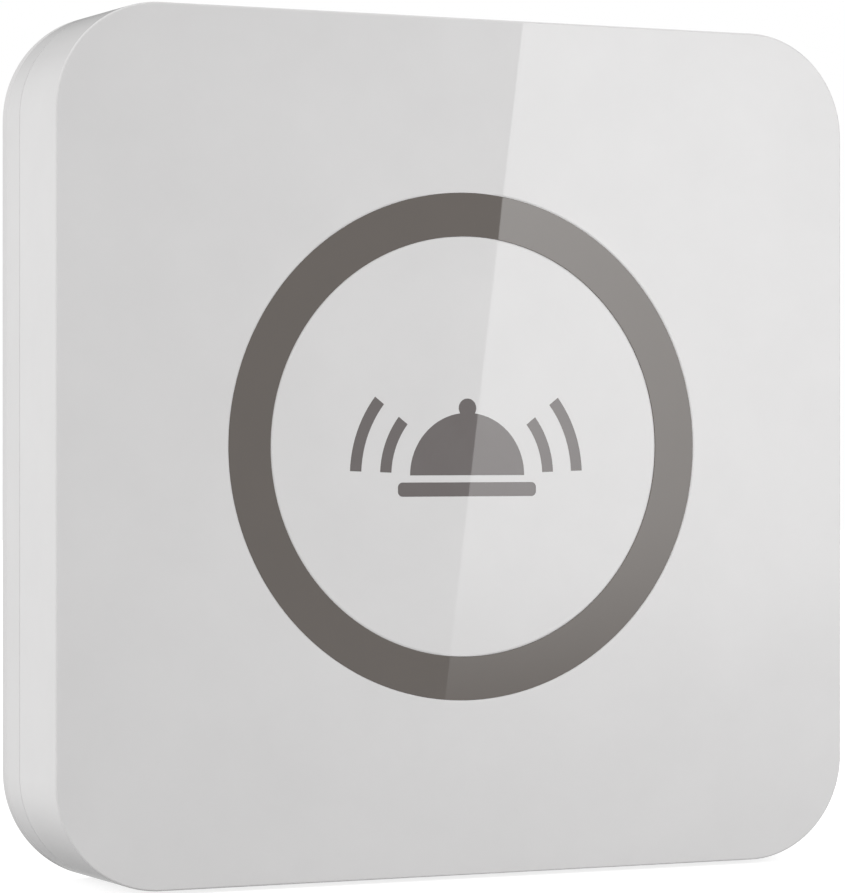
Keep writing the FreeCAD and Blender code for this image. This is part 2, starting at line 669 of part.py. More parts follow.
def switch_leads():
    """Four solder leads of the push switch."""
    body = new_body("switch_leads")

    def leads(drawing):
        for side in (-1, 1):
            for end in (-0.5, 0.5):
                rectangle(drawing, "lead_length", "lead_width",
                          f"{side} * (switch_width + lead_length) / 2", f"{end} * lead_pitch")

    add(body, "leads", BOARD_FRONT, f"{BOARD_FRONT} + lead_thickness", leads)


def circuit_board():
    """Board between the posts of the back cover and the lights."""
    body = new_body("circuit_board")
    add(body, "board", BOARD_BACK, BOARD_FRONT,
        lambda s: rounded_rectangle(s, BOARD_WIDTH, BOARD_TALL, "board_corner"))

    def holes(drawing):
        four_circles(drawing, "board_screw_radius + shank_play", POSTS_ACROSS, POSTS_UP)
        circle(drawing, "peg_radius + thread_play", "peg_pitch / 2")
        circle(drawing, "peg_radius + thread_play", "-peg_pitch / 2")

    cut(body, "holes", BOARD_BACK, BOARD_FRONT, holes)


def indicator_leds():
    """Lights on the board, under the end of the ring's skirt and between the hooks."""
    body = new_body("indicator_leds")
    place = "(ring_inner + ring_skirt / 2) * cos(45)"
    light = add(body, "light", BOARD_FRONT, f"{BOARD_FRONT} + led_height",
                lambda s: rectangle(s, "led_length", "led_width", place, place))
    repeat_round(body, light, "led_count")


def microcontroller():
    """Controller on the back of the board, with its rows of pins."""
    body = new_body("microcontroller")
    add(body, "case", f"{BOARD_BACK} - chip_height", BOARD_BACK,
        lambda s: rectangle(s, "chip_length", "chip_width"), across="chip_across", up="chip_up")

    def pins(drawing):
        for k in range(int(number("pin_rows"))):
            rectangle(drawing, "pin_width", "pin_span", f"({k} - (pin_rows - 1) / 2) * pin_pitch")

    add(body, "pins", f"{BOARD_BACK} - lead_thickness", BOARD_BACK, pins,
        across="chip_across", up="chip_up")


def radio_chip():
    """Radio chip beside the controller."""
    body = new_body("radio_chip")
    add(body, "case", f"{BOARD_BACK} - radio_height", BOARD_BACK,
        lambda s: rectangle(s, "radio_side", "radio_side"), across="radio_across", up="chip_up")


def crystal():
    """Crystal can above the radio chip."""
    body = new_body("crystal")
    add(body, "can", f"{BOARD_BACK} - crystal_height", BOARD_BACK,
        lambda s: rounded_rectangle(s, "crystal_length", "crystal_width", "crystal_corner"),
        across="radio_across", up="chip_up + crystal_rise")


def passive_row(name, height, rise):
    """A row of chip parts on the back of the board."""
    body = new_body(name)

    def chips(drawing):
        for k in range(int(number("passive_count"))):
            rectangle(drawing, "passive_width", "passive_length",
                      f"({k} - (passive_count - 1) / 2) * passive_pitch")

    add(body, "chips", f"{BOARD_BACK} - {height}", BOARD_BACK, chips,
        across="chip_across", up=f"chip_up + {rise}")


def antenna():
    """Wire coil aerial along the top edge of the board."""
    coil(new_body("antenna"), "coil", "H_Axis", AERIAL_RADIUS, "aerial_wire", "aerial_pitch",
         "aerial_length", "-aerial_length / 2", f"{AERIAL_BACK} + aerial_wire + {AERIAL_RADIUS}",
         f"{BOARD_TALL} / 2 - aerial_inset")


def battery_holder():
    """Ring under the board that locates the coin cell."""
    body = new_body("battery_holder")
    add(body, "ring", CELL_BACK, BOARD_BACK, lambda s: ring(s, HOLDER_INNER, HOLDER_OUTER),
        up="-battery_drop")
    cut(body, "contact_gap", CELL_BACK, BOARD_BACK,
        lambda s: rectangle(s, "3 * holder_wall", "contact_width + 2 * contact_play",
                            f"{HOLDER_INNER} + holder_wall / 2"),
        up="-battery_drop")


def coin_cell():
    """Coin cell with its stepped negative cap towards the board."""
    body = new_body("coin_cell")
    add(body, "can", CELL_BACK, f"{CELL_FRONT} - cell_step", lambda s: circle(s, "cell_radius"),
        up="-battery_drop")
    add(body, "cap", f"{CELL_FRONT} - cell_step", CELL_FRONT,
        lambda s: circle(s, "cell_radius - cell_step_inset"), up="-battery_drop")


def negative_contact():
    """Strip on the board that touches the cell's negative cap."""
    body = new_body("negative_contact")
    add(body, "strip", CELL_FRONT, BOARD_BACK,
        lambda s: rectangle(s, "contact_strip", "contact_width"), up="-battery_drop")


def positive_contact():
    """Clip that runs from the board past the cell's edge and over its back."""
    body = new_body("positive_contact")
    add(body, "post", CLIP_BACK, BOARD_BACK,
        lambda s: rectangle(s, "contact_thickness", "contact_width",
                            f"{HOLDER_INNER} + contact_thickness / 2"), up="-battery_drop")
    add(body, "arm", CLIP_BACK, CELL_BACK,
        lambda s: rectangle(s, "contact_arm", "contact_width",
                            f"{HOLDER_INNER} + contact_thickness - contact_arm / 2"),
        up="-battery_drop")


def lug(drawing, width, reach):
    """A bar from near the centre upwards to a radius."""
    rectangle(drawing, width, f"{reach} / 2", up=f"0.75 * {reach}")


def battery_lid():
    """Round lid with a coin slot and three bayonet lugs behind the floor."""
    body = new_body("battery_lid")
    add(body, "plate", "0", "lid_plate", lambda s: circle(s, LID_RADIUS), up="-battery_drop")
    add(body, "neck", "lid_plate", LUG_FRONT, lambda s: circle(s, NECK_RADIUS),
        up="-battery_drop")
    lugs = add(body, "lug", LUG_BACK, LUG_FRONT, lambda s: lug(s, "bayonet_width", LUG_RADIUS),
               up="-battery_drop")
    repeat_round(body, lugs, "bayonet_count")
    cut(body, "coin_slot", "0", "slot_depth", lambda s: rectangle(s, "slot_length", "slot_width"),
        up="-battery_drop")
    cut(body, "gasket_groove", "lid_plate - gasket_depth", "lid_plate",
        lambda s: ring(s, f"{GASKET_OUTER} - gasket_width", GASKET_OUTER), up="-battery_drop")


def lid_seal():
    """Flat rubber gasket in the lid's plate."""
    body = new_body("lid_seal")
    add(body, "gasket", "lid_plate - gasket_depth", "lid_plate",
        lambda s: ring(s, f"{GASKET_OUTER} - gasket_width", GASKET_OUTER), up="-battery_drop")


def back_cover():
    """Tray that closes the case: floor, drafted band, lip, posts and the battery opening."""
    body = new_body("back_cover")
    corner = f"(face_corner + (case_width - {FACE_WIDTH}) / 2)"
    add(body, "band", "0", f"({PARTING} - parting_groove)",
        lambda s: rounded_rectangle(s, "case_width", "case_width", corner), taper="-draft")
    add(body, "lip", "floor_thickness", LIP_TOP,
        lambda s: rounded_rectangle(s, LIP_WIDTH, LIP_WIDTH, LIP_CORNER))
    inner = f"({LIP_WIDTH} - 2 * lip_thickness)"
    cut(body, "cavity", "floor_thickness", LIP_TOP,
        lambda s: rounded_rectangle(s, inner, inner, f"({LIP_CORNER} - lip_thickness)"))

    def groove(drawing):
        rounded_rectangle(drawing, f"({LIP_WIDTH} + 2 * lip_gap)", f"({LIP_WIDTH} + 2 * lip_gap)",
                          f"({LIP_CORNER} + lip_gap)")
        narrow = f"({LIP_WIDTH} - 2 * seal_groove)"
        rounded_rectangle(drawing, narrow, narrow, f"({LIP_CORNER} - seal_groove)")

    cut(body, "seal_groove", SEAL_BACK, SEAL_FRONT, groove)
    add(body, "bosses", "floor_thickness", BOSS_JOINT,
        lambda s: four_circles(s, "boss_radius", SCREW_PITCH, SCREW_PITCH))
    cut(body, "screw_holes", SCREW_SEAT, BOSS_JOINT,
        lambda s: four_circles(s, "screw_radius + shank_play", SCREW_PITCH, SCREW_PITCH))
    cut(body, "head_wells", "0", SCREW_SEAT,
        lambda s: four_circles(s, "screw_head + head_play", SCREW_PITCH, SCREW_PITCH))
    add(body, "posts", "floor_thickness", BOARD_BACK,
        lambda s: four_circles(s, "post_radius", POSTS_ACROSS, POSTS_UP))
    cut(body, "post_pilots", f"{BOARD_SCREW_TIP} - tip_room", BOARD_BACK,
        lambda s: four_circles(s, "board_screw_radius + thread_play", POSTS_ACROSS, POSTS_UP))
    cut(body, "lid_seat", "0", "lid_plate",
        lambda s: circle(s, f"{LID_RADIUS} + lid_gap"), up="-battery_drop")
    cut(body, "lid_hole", "lid_plate", "floor_thickness",
        lambda s: circle(s, f"{NECK_RADIUS} + lid_gap"), up="-battery_drop")
    notch = cut(body, "lid_notch", "lid_plate", "floor_thickness",
                lambda s: rectangle(s, "bayonet_width + notch_play", f"({LUG_RADIUS} + lid_gap) / 2",
                                    up=f"-0.75 * ({LUG_RADIUS} + lid_gap)"), up="-battery_drop")
    repeat_round(body, notch, "bayonet_count")

    def wall_holes(drawing):
        circle(drawing, "wall_hole", "wall_pitch / 2")
        circle(drawing, "wall_hole", "-wall_pitch / 2")

    cut(body, "wall_holes", "0", "floor_thickness", wall_holes)
    cut(body, "label_recess", "0", "label_depth",
        lambda s: rectangle(s, "label_width", "label_tall"), up="label_up")


def housing_seal():
    """Silicone cord in the lip's groove, against the front cover's side walls."""
    body = new_body("housing_seal")

    def outline(drawing):
        rounded_rectangle(drawing, CAVITY_WIDTH, CAVITY_WIDTH, CAVITY_CORNER)
        narrow = f"({LIP_WIDTH} - 2 * seal_groove)"
        rounded_rectangle(drawing, narrow, narrow, f"({LIP_CORNER} - seal_groove)")

    add(body, "cord", SEAL_BACK, SEAL_FRONT, outline)


def cover_screws():
    """Four screws from the back through the bosses."""
    body = new_body("cover_screws")
    add(body, "heads", "screw_sink", SCREW_SEAT,
        lambda s: four_circles(s, "screw_head", SCREW_PITCH, SCREW_PITCH))
    add(body, "shanks", SCREW_SEAT, SCREW_TIP,
        lambda s: four_circles(s, "screw_radius", SCREW_PITCH, SCREW_PITCH))
    cross_recess(body, "(screw_sink + recess_depth)", SCREW_PITCH, SCREW_PITCH, "screw_radius")


def board_screws():
    """Four screws that hold the board on its posts."""
    body = new_body("board_screws")
    add(body, "shanks", BOARD_SCREW_TIP, BOARD_FRONT,
        lambda s: four_circles(s, "board_screw_radius", POSTS_ACROSS, POSTS_UP))
    add(body, "heads", BOARD_FRONT, f"({BOARD_FRONT} + board_screw_head_height)",
        lambda s: four_circles(s, "board_screw_head", POSTS_ACROSS, POSTS_UP))
    cross_recess(body, f"({BOARD_FRONT} + board_screw_head_height)", POSTS_ACROSS, POSTS_UP,
                 "board_screw_radius")


front_cover()
light_ring()
call_button()
call_symbol()
return_springs()
spring_carrier()
switch_base()
switch_cover()
switch_plunger()
switch_leads()
circuit_board()
indicator_leds()
microcontroller()
radio_chip()
crystal()
passive_row("chip_resistors", "resistor_height", "resistor_rise")
passive_row("chip_capacitors", "capacitor_height", "capacitor_rise")
antenna()
battery_holder()
coin_cell()
negative_contact()
positive_contact()
battery_lid()
lid_seal()
back_cover()
housing_seal()
cover_screws()
board_screws()

doc.recompute()
for item in doc.Objects:
    if {"Invalid", "Error"} & set(item.State):
        raise RuntimeError(f"{item.Name} failed: {item.State}")
bodies = [item for item in doc.Objects if item.TypeId == "PartDesign::Body"]
for body in bodies:
    if body.Shape.isNull() or not body.Shape.isValid():
        raise RuntimeError(f"{body.Label} has no valid shape")

os.makedirs("parts", exist_ok=True)
for body in bodies:
    body.Shape.exportStep(os.path.join("parts", f"{body.Label}.step"))
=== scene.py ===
import math

import bmesh
import bpy
from mathutils import Matrix, Vector


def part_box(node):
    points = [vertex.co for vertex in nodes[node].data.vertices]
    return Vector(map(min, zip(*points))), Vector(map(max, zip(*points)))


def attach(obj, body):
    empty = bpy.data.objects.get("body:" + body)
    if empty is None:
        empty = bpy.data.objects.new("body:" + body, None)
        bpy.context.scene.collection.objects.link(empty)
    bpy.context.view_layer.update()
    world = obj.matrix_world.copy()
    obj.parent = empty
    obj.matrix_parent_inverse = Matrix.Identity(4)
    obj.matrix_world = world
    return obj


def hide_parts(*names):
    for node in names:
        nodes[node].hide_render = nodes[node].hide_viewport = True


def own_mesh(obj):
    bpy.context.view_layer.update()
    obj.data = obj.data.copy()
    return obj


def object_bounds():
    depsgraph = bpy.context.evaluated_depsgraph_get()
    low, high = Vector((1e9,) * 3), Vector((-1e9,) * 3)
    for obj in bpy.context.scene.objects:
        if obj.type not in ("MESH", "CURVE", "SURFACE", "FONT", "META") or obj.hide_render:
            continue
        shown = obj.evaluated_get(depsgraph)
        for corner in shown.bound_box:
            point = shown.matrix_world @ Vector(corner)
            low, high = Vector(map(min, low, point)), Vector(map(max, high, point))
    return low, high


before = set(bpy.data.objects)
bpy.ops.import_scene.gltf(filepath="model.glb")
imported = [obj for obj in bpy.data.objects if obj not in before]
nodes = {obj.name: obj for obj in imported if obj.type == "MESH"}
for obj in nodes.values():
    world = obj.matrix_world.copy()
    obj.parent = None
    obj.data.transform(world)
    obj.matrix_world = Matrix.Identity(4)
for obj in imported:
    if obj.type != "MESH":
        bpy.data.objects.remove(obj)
cad_low, cad_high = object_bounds()

# FRONT COVER
# The shell that shows: white ABS, injection moulded in a mirror-polished tool, with drafted sides.
# A stepped seat in its flat panel takes the light ring, four bosses behind the panel take the
# screws, and its open back drops over the lip of the rear tray.

MM = 0.001
SIDE_DRAFT = math.tan(math.radians(1.55))
FACE_CORNER = 10.5 * MM
PANEL_THICKNESS = 2.2 * MM
SIDE_WALL = 1.8 * MM
RING_FLANGE = 1.2 * MM
RING_SKIRT_RADIUS = 22.2 * MM
FIT_GAP = 0.05 * MM
RING_GAP = 0.01 * MM
FACE_ROUND = 0.2 * MM
PARTING_ROUND = 0.04 * MM
RIM_CHAMFER = 0.16 * MM
RIM_SINK = 0.06 * MM
SCREW_PLACE = 33.5 * MM
SCREW_SHANK = 1.2 * MM
BOSS_RADIUS = 3.2 * MM
BOSS_SHORT = 1.4 * MM
BOSS_SINK = 0.3 * MM
BOSS_BORE_Y = -12.8 * MM

# How finely the curves are cut (a bevel's profile of 0.5 is a true arc), and how steep an edge has
# to be to stay crisp, in degrees. The shallow chamfers need a smaller angle than the rest.
CORNER_STEPS = 47
ROUND_STEPS = 4 * (CORNER_STEPS + 1)
BOSS_STEPS = 48
FACE_ROUND_STEPS = 6
PARTING_ROUND_STEPS = 3
SECTION_ROUND_STEPS = 4
TRUE_ARC = 0.5
MERGE_DISTANCE = 1e-7
CRISP_EDGE = 35
CRISP_CHAMFER = 20

cover_low, cover_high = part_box("front_cover")
ring_low, ring_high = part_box("light_ring")
FACE_Y = cover_low.y
PARTING_Y = cover_high.y
PANEL_BACK_Y = FACE_Y + PANEL_THICKNESS
BOSS_JOINT_Y = PARTING_Y - BOSS_SHORT


def case_outline(y):
    """Half width and corner radius of the drafted case at a depth."""
    return cad_high.x + (y - cad_high.y) * SIDE_DRAFT, FACE_CORNER + (y - FACE_Y) * SIDE_DRAFT


def upright(across, y, up):
    """The place of a flat shape that stands parallel to the front face."""
    return Matrix.Translation((across, y, up)) @ Matrix.Rotation(math.pi / 2, 4, "X")


def rounded_loop(mesh, half_across, half_up, corner, y, up=0.0, steps=CORNER_STEPS):
    """A loop of edges round a rectangle with round corners, parallel to the front face."""
    size = Matrix.Diagonal((half_across, half_up, 1, 1))
    sheet = bmesh.ops.create_grid(mesh, x_segments=1, y_segments=1, size=1,
                                  matrix=upright(0, y, up) @ size)
    arcs = bmesh.ops.bevel(mesh, geom=sheet["verts"], offset=corner, affect="VERTICES",
                           segments=steps, profile=TRUE_ARC, material=-1)
    face = arcs["verts"][0].link_faces[0]
    loop = list(face.edges)
    bmesh.ops.delete(mesh, geom=[face], context="FACES_ONLY")
    return loop


def rounded_square(mesh, outline, y):
    """The same round a square, given its half width and corner radius."""
    half, corner = outline
    return rounded_loop(mesh, half, half, corner, y)


def once_each(items):
    """The items in their own order, each only once."""
    return list(dict.fromkeys(items))


def round_loop(mesh, radius, y, across=0.0, up=0.0, steps=ROUND_STEPS):
    """A loop of edges round a circle, parallel to the front face."""
    ring = bmesh.ops.create_circle(mesh, cap_ends=False, segments=steps, radius=radius,
                                   matrix=upright(across, y, up))
    return once_each(edge for vert in ring["verts"] for edge in vert.link_edges)


def extend(mesh, loop, place):
    """Extrudes a loop, puts each new point where place says, and gives back the new loop."""
    grown = bmesh.ops.extrude_edge_only(mesh, edges=loop)["geom"]
    for vert in grown:
        if isinstance(vert, bmesh.types.BMVert):
            vert.co = place(vert.co)
    return [edge for edge in grown if isinstance(edge, bmesh.types.BMEdge)]


def to_square(old, new, y):
    """For extend(): from one rounded square to another, each a half width and a corner radius."""
    def on_side(value):
        turn = (abs(value) - old[0] + old[1]) / old[1]
        return math.copysign(new[0] - new[1] + turn * new[1], value)

    return lambda point: Vector((on_side(point.x), y, on_side(point.z)))


def to_circle(radius, y, across=0.0, up=0.0):
    """For extend(): to a circle round an axis that runs from front to back."""
    def place(point):
        spoke = Vector((point.x - across, 0, point.z - up))
        return Vector((across, y, up)) + spoke.normalized() * radius

    return place


def join(mesh, loop, other):
    """Fills the strip between two loops with as many points each."""
    bmesh.ops.bridge_loops(mesh, edges=loop + other)


def round_edges(mesh, loop, radius, steps):
    """Rounds the edges of a loop."""
    bmesh.ops.bevel(mesh, geom=loop, offset=radius, affect="EDGES", segments=steps,
                    profile=TRUE_ARC, material=-1)


def turned(mesh, section, across=0.0, up=0.0, steps=ROUND_STEPS):
    """Spins a half section, points of (radius, y, rounding), round an axis from front to back.

    A section that starts on the axis ends there too, and any other is a closed loop.
    """
    known = set(mesh.verts)
    points = [mesh.verts.new((across + radius, y, up)) for radius, y, _ in section]
    pairs = list(zip(points, points[1:]))
    if section[0][0] > 0:
        pairs.append((points[-1], points[0]))
    for pair in pairs:
        mesh.edges.new(pair)
    for vert, (_, _, rounding) in zip(points, section):
        if rounding:
            bmesh.ops.bevel(mesh, geom=[vert], offset=rounding, affect="VERTICES",
                            segments=SECTION_ROUND_STEPS, profile=TRUE_ARC, material=-1)
    wire = [vert for vert in mesh.verts if vert not in known]
    wire += once_each(edge for vert in wire for edge in vert.link_edges)
    bmesh.ops.spin(mesh, geom=wire, cent=(across, 0, up), axis=(0, 1, 0), dvec=(0, 0, 0),
                   angle=2 * math.pi, steps=steps, use_merge=True, use_duplicate=False)


def at_corners(place_across, place_up):
    """Four places, one in each corner."""
    return [(side * place_across, end * place_up) for side in (-1, 1) for end in (-1, 1)]


def make_piece(name, mesh, material, sharp=CRISP_EDGE):
    """Turns a finished bmesh into an object. Edges steeper than sharp degrees stay crisp."""
    bmesh.ops.remove_doubles(mesh, verts=mesh.verts[:], dist=MERGE_DISTANCE)
    bmesh.ops.recalc_face_normals(mesh, faces=mesh.faces[:])
    for face in mesh.faces:
        face.smooth = True
    for edge in mesh.edges:
        edge.smooth = edge.calc_face_angle(0) < math.radians(sharp)
    data = bpy.data.meshes.new(name)
    mesh.to_mesh(data)
    mesh.free()
    data.materials.append(material)
    piece = bpy.data.objects.new(name, data)
    bpy.context.scene.collection.objects.link(piece)
    normals = piece.modifiers.new("flat_faces", "WEIGHTED_NORMAL")
    normals.keep_sharp = True
    return piece


def linear(code):
    """An sRGB hex value as linear red, green, blue and alpha."""
    parts = [int(code[k:k + 2], 16) / 255 for k in (1, 3, 5)]
    return [p / 12.92 if p <= 0.04045 else ((p + 0.055) / 1.055) ** 2.4 for p in parts] + [1.0]


def new_material(name):
    """An empty node material."""
    material = bpy.data.materials.new(name)
    material.use_nodes = True
    material.node_tree.nodes.clear()
    return material


def add(owner, kind, settings, inputs):
    """Adds a shader node with its settings. An input is a value or another node's output."""
    tree = owner.node_tree
    node = tree.nodes.new("ShaderNode" + kind)
    for key, value in settings.items():
        setattr(node, key, value)
    for key, value in inputs.items():
        if isinstance(value, bpy.types.NodeSocket):
            tree.links.new(value, node.inputs[key])
        else:
            node.inputs[key].default_value = value
    return node


# The sockets of a Mix node that blends colours.
MIX_AMOUNT, MIX_FIRST, MIX_SECOND, MIXED = 0, 6, 7, 2

# White ABS from a mirror-polished tool. It reflects like glass, with a little haze in patches of
# about a centimetre, a faint cloudiness in the pigment, and a few specks of dust. Real specks are
# under 0.1 mm across, and they are drawn coarser so that they still show.
CLOUD_SIZE = 9 * MM
HAZE_SIZE = 14 * MM
SPECK_SPACING = 5 * MM
SPECK_RADIUS = 0.08 * MM
SPECK_SHARE = 0.3

gloss_white_abs = new_material("gloss_white_abs")
place = add(gloss_white_abs, "TexCoord", {}, {}).outputs["Object"]
clouds = add(gloss_white_abs, "TexNoise", {}, {
    "Vector": place, "Scale": 1 / CLOUD_SIZE, "Detail": 4.0, "Roughness": 0.6})
pigment = add(gloss_white_abs, "Mix", {"data_type": "RGBA"}, {
    MIX_AMOUNT: clouds.outputs["Fac"], MIX_FIRST: linear("#DBDADA"), MIX_SECOND: linear("#E3E2E2")})
grains = add(gloss_white_abs, "TexVoronoi", {}, {"Vector": place, "Scale": 1 / SPECK_SPACING})
near = add(gloss_white_abs, "Math", {"operation": "LESS_THAN"}, {
    0: grains.outputs["Distance"], 1: SPECK_RADIUS / SPECK_SPACING})
picked = add(gloss_white_abs, "Math", {"operation": "LESS_THAN"}, {
    0: grains.outputs["Color"], 1: SPECK_SHARE})
speck = add(gloss_white_abs, "Math", {"operation": "MULTIPLY"}, {
    0: near.outputs[0], 1: picked.outputs[0]})
dust = add(gloss_white_abs, "Mix", {"data_type": "RGBA"}, {
    MIX_AMOUNT: speck.outputs[0], MIX_FIRST: pigment.outputs[MIXED], MIX_SECOND: linear("#C4C1BC")})
haze = add(gloss_white_abs, "TexNoise", {}, {
    "Vector": place, "Scale": 1 / HAZE_SIZE, "Detail": 3.0})
polish = add(gloss_white_abs, "MapRange", {}, {
    "Value": haze.outputs["Fac"], "To Min": 0.0, "To Max": 0.02})
surface = add(gloss_white_abs, "BsdfPrincipled", {}, {
    "Base Color": dust.outputs[MIXED], "Roughness": polish.outputs["Result"], "IOR": 1.46})
add(gloss_white_abs, "OutputMaterial", {}, {"Surface": surface.outputs["BSDF"]})

parting_outline = case_outline(PARTING_Y)
face_outline = case_outline(FACE_Y)
cavity = (face_outline[0] - SIDE_WALL, FACE_CORNER - SIDE_WALL)
seat_radius = ring_high.x + RING_GAP
seat_y = FACE_Y + RING_FLANGE
hole_radius = RING_SKIRT_RADIUS + FIT_GAP

shell = bmesh.new()
parting_rim = rounded_square(shell, parting_outline, PARTING_Y)
face_rim = extend(shell, parting_rim, to_square(parting_outline, face_outline, FACE_Y))
seat_rim = round_loop(shell, seat_radius + RIM_CHAMFER, FACE_Y)
join(shell, face_rim, seat_rim)
seat_lip = extend(shell, seat_rim, to_circle(seat_radius, FACE_Y + RIM_SINK))
seat = extend(shell, seat_lip, to_circle(seat_radius, seat_y))
ledge = extend(shell, seat, to_circle(hole_radius, seat_y))
hole = extend(shell, ledge, to_circle(hole_radius, PANEL_BACK_Y))
cavity_front = rounded_square(shell, cavity, PANEL_BACK_Y)
join(shell, hole, cavity_front)
cavity_rim = extend(shell, cavity_front, to_square(cavity, cavity, PARTING_Y))
join(shell, parting_rim, cavity_rim)
round_edges(shell, face_rim, FACE_ROUND, FACE_ROUND_STEPS)
round_edges(shell, parting_rim, PARTING_ROUND, PARTING_ROUND_STEPS)
for across, up in at_corners(SCREW_PLACE, SCREW_PLACE):
    turned(shell, [(0, BOSS_BORE_Y, 0), (SCREW_SHANK, BOSS_BORE_Y, 0),
                   (SCREW_SHANK, BOSS_JOINT_Y, 0), (BOSS_RADIUS, BOSS_JOINT_Y, 0),
                   (BOSS_RADIUS, PANEL_BACK_Y - BOSS_SINK, 0), (0, PANEL_BACK_Y - BOSS_SINK, 0)],
           across, up, steps=BOSS_STEPS)
front_shell = make_piece("front_shell", shell, gloss_white_abs, sharp=CRISP_CHAMFER)
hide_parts("front_cover")
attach(front_shell, "housing")

# LIGHT RING
# A smoked polycarbonate light guide: a flange that lies flush in the panel's seat and a skirt that
# reaches back to the lights on the board. It is moulded clear with a grey-brown tint and polished.

RING_INNER = 20.87 * MM
RING_EDGE = 0.04 * MM
TINT_CLOUD = 5 * MM

# Smoked polycarbonate, moulded and polished. Unlit it looks almost opaque, an even grey brown.
smoked_polycarbonate = new_material("smoked_polycarbonate")
place = add(smoked_polycarbonate, "TexCoord", {}, {}).outputs["Object"]
clouds = add(smoked_polycarbonate, "TexNoise", {}, {
    "Vector": place, "Scale": 1 / TINT_CLOUD, "Detail": 3.0})
tint = add(smoked_polycarbonate, "Mix", {"data_type": "RGBA"}, {
    MIX_AMOUNT: clouds.outputs["Fac"], MIX_FIRST: linear("#57504A"), MIX_SECOND: linear("#5B534D")})
surface = add(smoked_polycarbonate, "BsdfPrincipled", {}, {
    "Base Color": tint.outputs[MIXED], "Roughness": 0.01, "IOR": 1.66})
add(smoked_polycarbonate, "OutputMaterial", {}, {"Surface": surface.outputs["BSDF"]})

ring = bmesh.new()
turned(ring, [(RING_INNER, ring_low.y, RING_EDGE), (ring_high.x, ring_low.y, RING_EDGE),
              (ring_high.x, seat_y, 0), (RING_SKIRT_RADIUS, seat_y, 0),
              (RING_SKIRT_RADIUS, ring_high.y, RING_EDGE), (RING_INNER, ring_high.y, RING_EDGE)])
light_guide = make_piece("light_guide", ring, smoked_polycarbonate)
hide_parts("light_ring")
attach(light_guide, "housing")

# PUSH CAP
# The round cap that is pressed, moulded in the same polished white ABS as the shell. A guide wall
# and four snap hooks hold it under the ring's skirt, a stem in its middle presses the switch, and
# four pins sit inside the return springs.

CAP_RADIUS = 20.86 * MM
INLAY_PROUD = 0.01 * MM
CAP_THICKNESS = 1.6 * MM
GUIDE_INNER = 19.3 * MM
GUIDE_OUTER = 20.3 * MM
GUIDE_LENGTH = 2.5 * MM
STEM_RADIUS = 2.2 * MM
STEM_LENGTH = 1.57 * MM
PIN_RADIUS = 0.9 * MM
PIN_ROUND = PIN_RADIUS / 3
PIN_LENGTH = 1.6 * MM
PIN_PLACE = 9 * MM
PIN_STEPS = 24
HOOKS = 4
HOOK_WIDTH = 4 * MM
HOOK_REACH = 21.9 * MM
HOOK_NOSE = 1.2 * MM
HOOK_TAPER = 3
HOOK_END_Y = -9.7 * MM
ROOT_SINK = 0.3 * MM

cap_face_y = FACE_Y + INLAY_PROUD
cap_back_y = FACE_Y + CAP_THICKNESS
cap = bmesh.new()
turned(cap, [(0, cap_face_y, 0), (CAP_RADIUS - RIM_CHAMFER, cap_face_y, 0),
             (CAP_RADIUS, cap_face_y + RIM_SINK, 0), (CAP_RADIUS, cap_back_y, 0),
             (GUIDE_OUTER, cap_back_y, 0), (GUIDE_OUTER, cap_back_y + GUIDE_LENGTH, 0),
             (GUIDE_INNER, cap_back_y + GUIDE_LENGTH, 0), (GUIDE_INNER, cap_back_y, 0),
             (STEM_RADIUS, cap_back_y, 0), (STEM_RADIUS, cap_back_y + STEM_LENGTH, 0),
             (0, cap_back_y + STEM_LENGTH, 0)])
for across, up in at_corners(PIN_PLACE, PIN_PLACE):
    turned(cap, [(0, cap_back_y - ROOT_SINK, 0), (PIN_RADIUS, cap_back_y - ROOT_SINK, 0),
                 (PIN_RADIUS, cap_back_y + PIN_LENGTH, PIN_ROUND),
                 (0, cap_back_y + PIN_LENGTH, 0)], across, up, steps=PIN_STEPS)

# A hook hangs from the guide wall. Its nose slopes back to a third of its reach at the end, so
# that it slips past the ring's skirt when the cap is pushed in.
inner, outer, nose = (math.sqrt(radius ** 2 - (HOOK_WIDTH / 2) ** 2)
                      for radius in (GUIDE_INNER, GUIDE_OUTER, HOOK_REACH))
leg_root_y = cap_back_y + GUIDE_LENGTH / 2
profile = [(inner, leg_root_y), (outer, leg_root_y), (outer, HOOK_END_Y - HOOK_NOSE),
           (nose, HOOK_END_Y - HOOK_NOSE), (outer + (nose - outer) / HOOK_TAPER, HOOK_END_Y),
           (inner, HOOK_END_Y)]
hook = cap.faces.new([cap.verts.new((across, y, -HOOK_WIDTH / 2)) for across, y in profile])
solid = bmesh.ops.extrude_face_region(cap, geom=[hook])["geom"]
moved = [item for item in solid if isinstance(item, bmesh.types.BMVert)]
bmesh.ops.translate(cap, verts=moved, vec=(0, 0, HOOK_WIDTH))
hook_parts = hook.verts[:] + moved
hook_faces = once_each(face for vert in hook_parts for face in vert.link_faces)
bmesh.ops.spin(cap, geom=hook_faces, cent=(0, 0, 0), axis=(0, 1, 0), dvec=(0, 0, 0),
               angle=math.radians(360 - 360 / HOOKS), steps=HOOKS - 1, use_duplicate=True)
push_cap = make_piece("push_cap", cap, gloss_white_abs, sharp=CRISP_CHAMFER)
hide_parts("call_button")
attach(push_cap, "button")

# BELL SYMBOL
# A counter bell with its sound waves: a second shot of grey ABS, moulded into the cap's face and
# polished with it. Its shape is the frame's own piece.


def dress(material, *names):
    """Gives CAD nodes a finished material."""
    for name in names:
        for slot in nodes[name].material_slots:
            slot.material = material


INK_CLOUD = 3 * MM

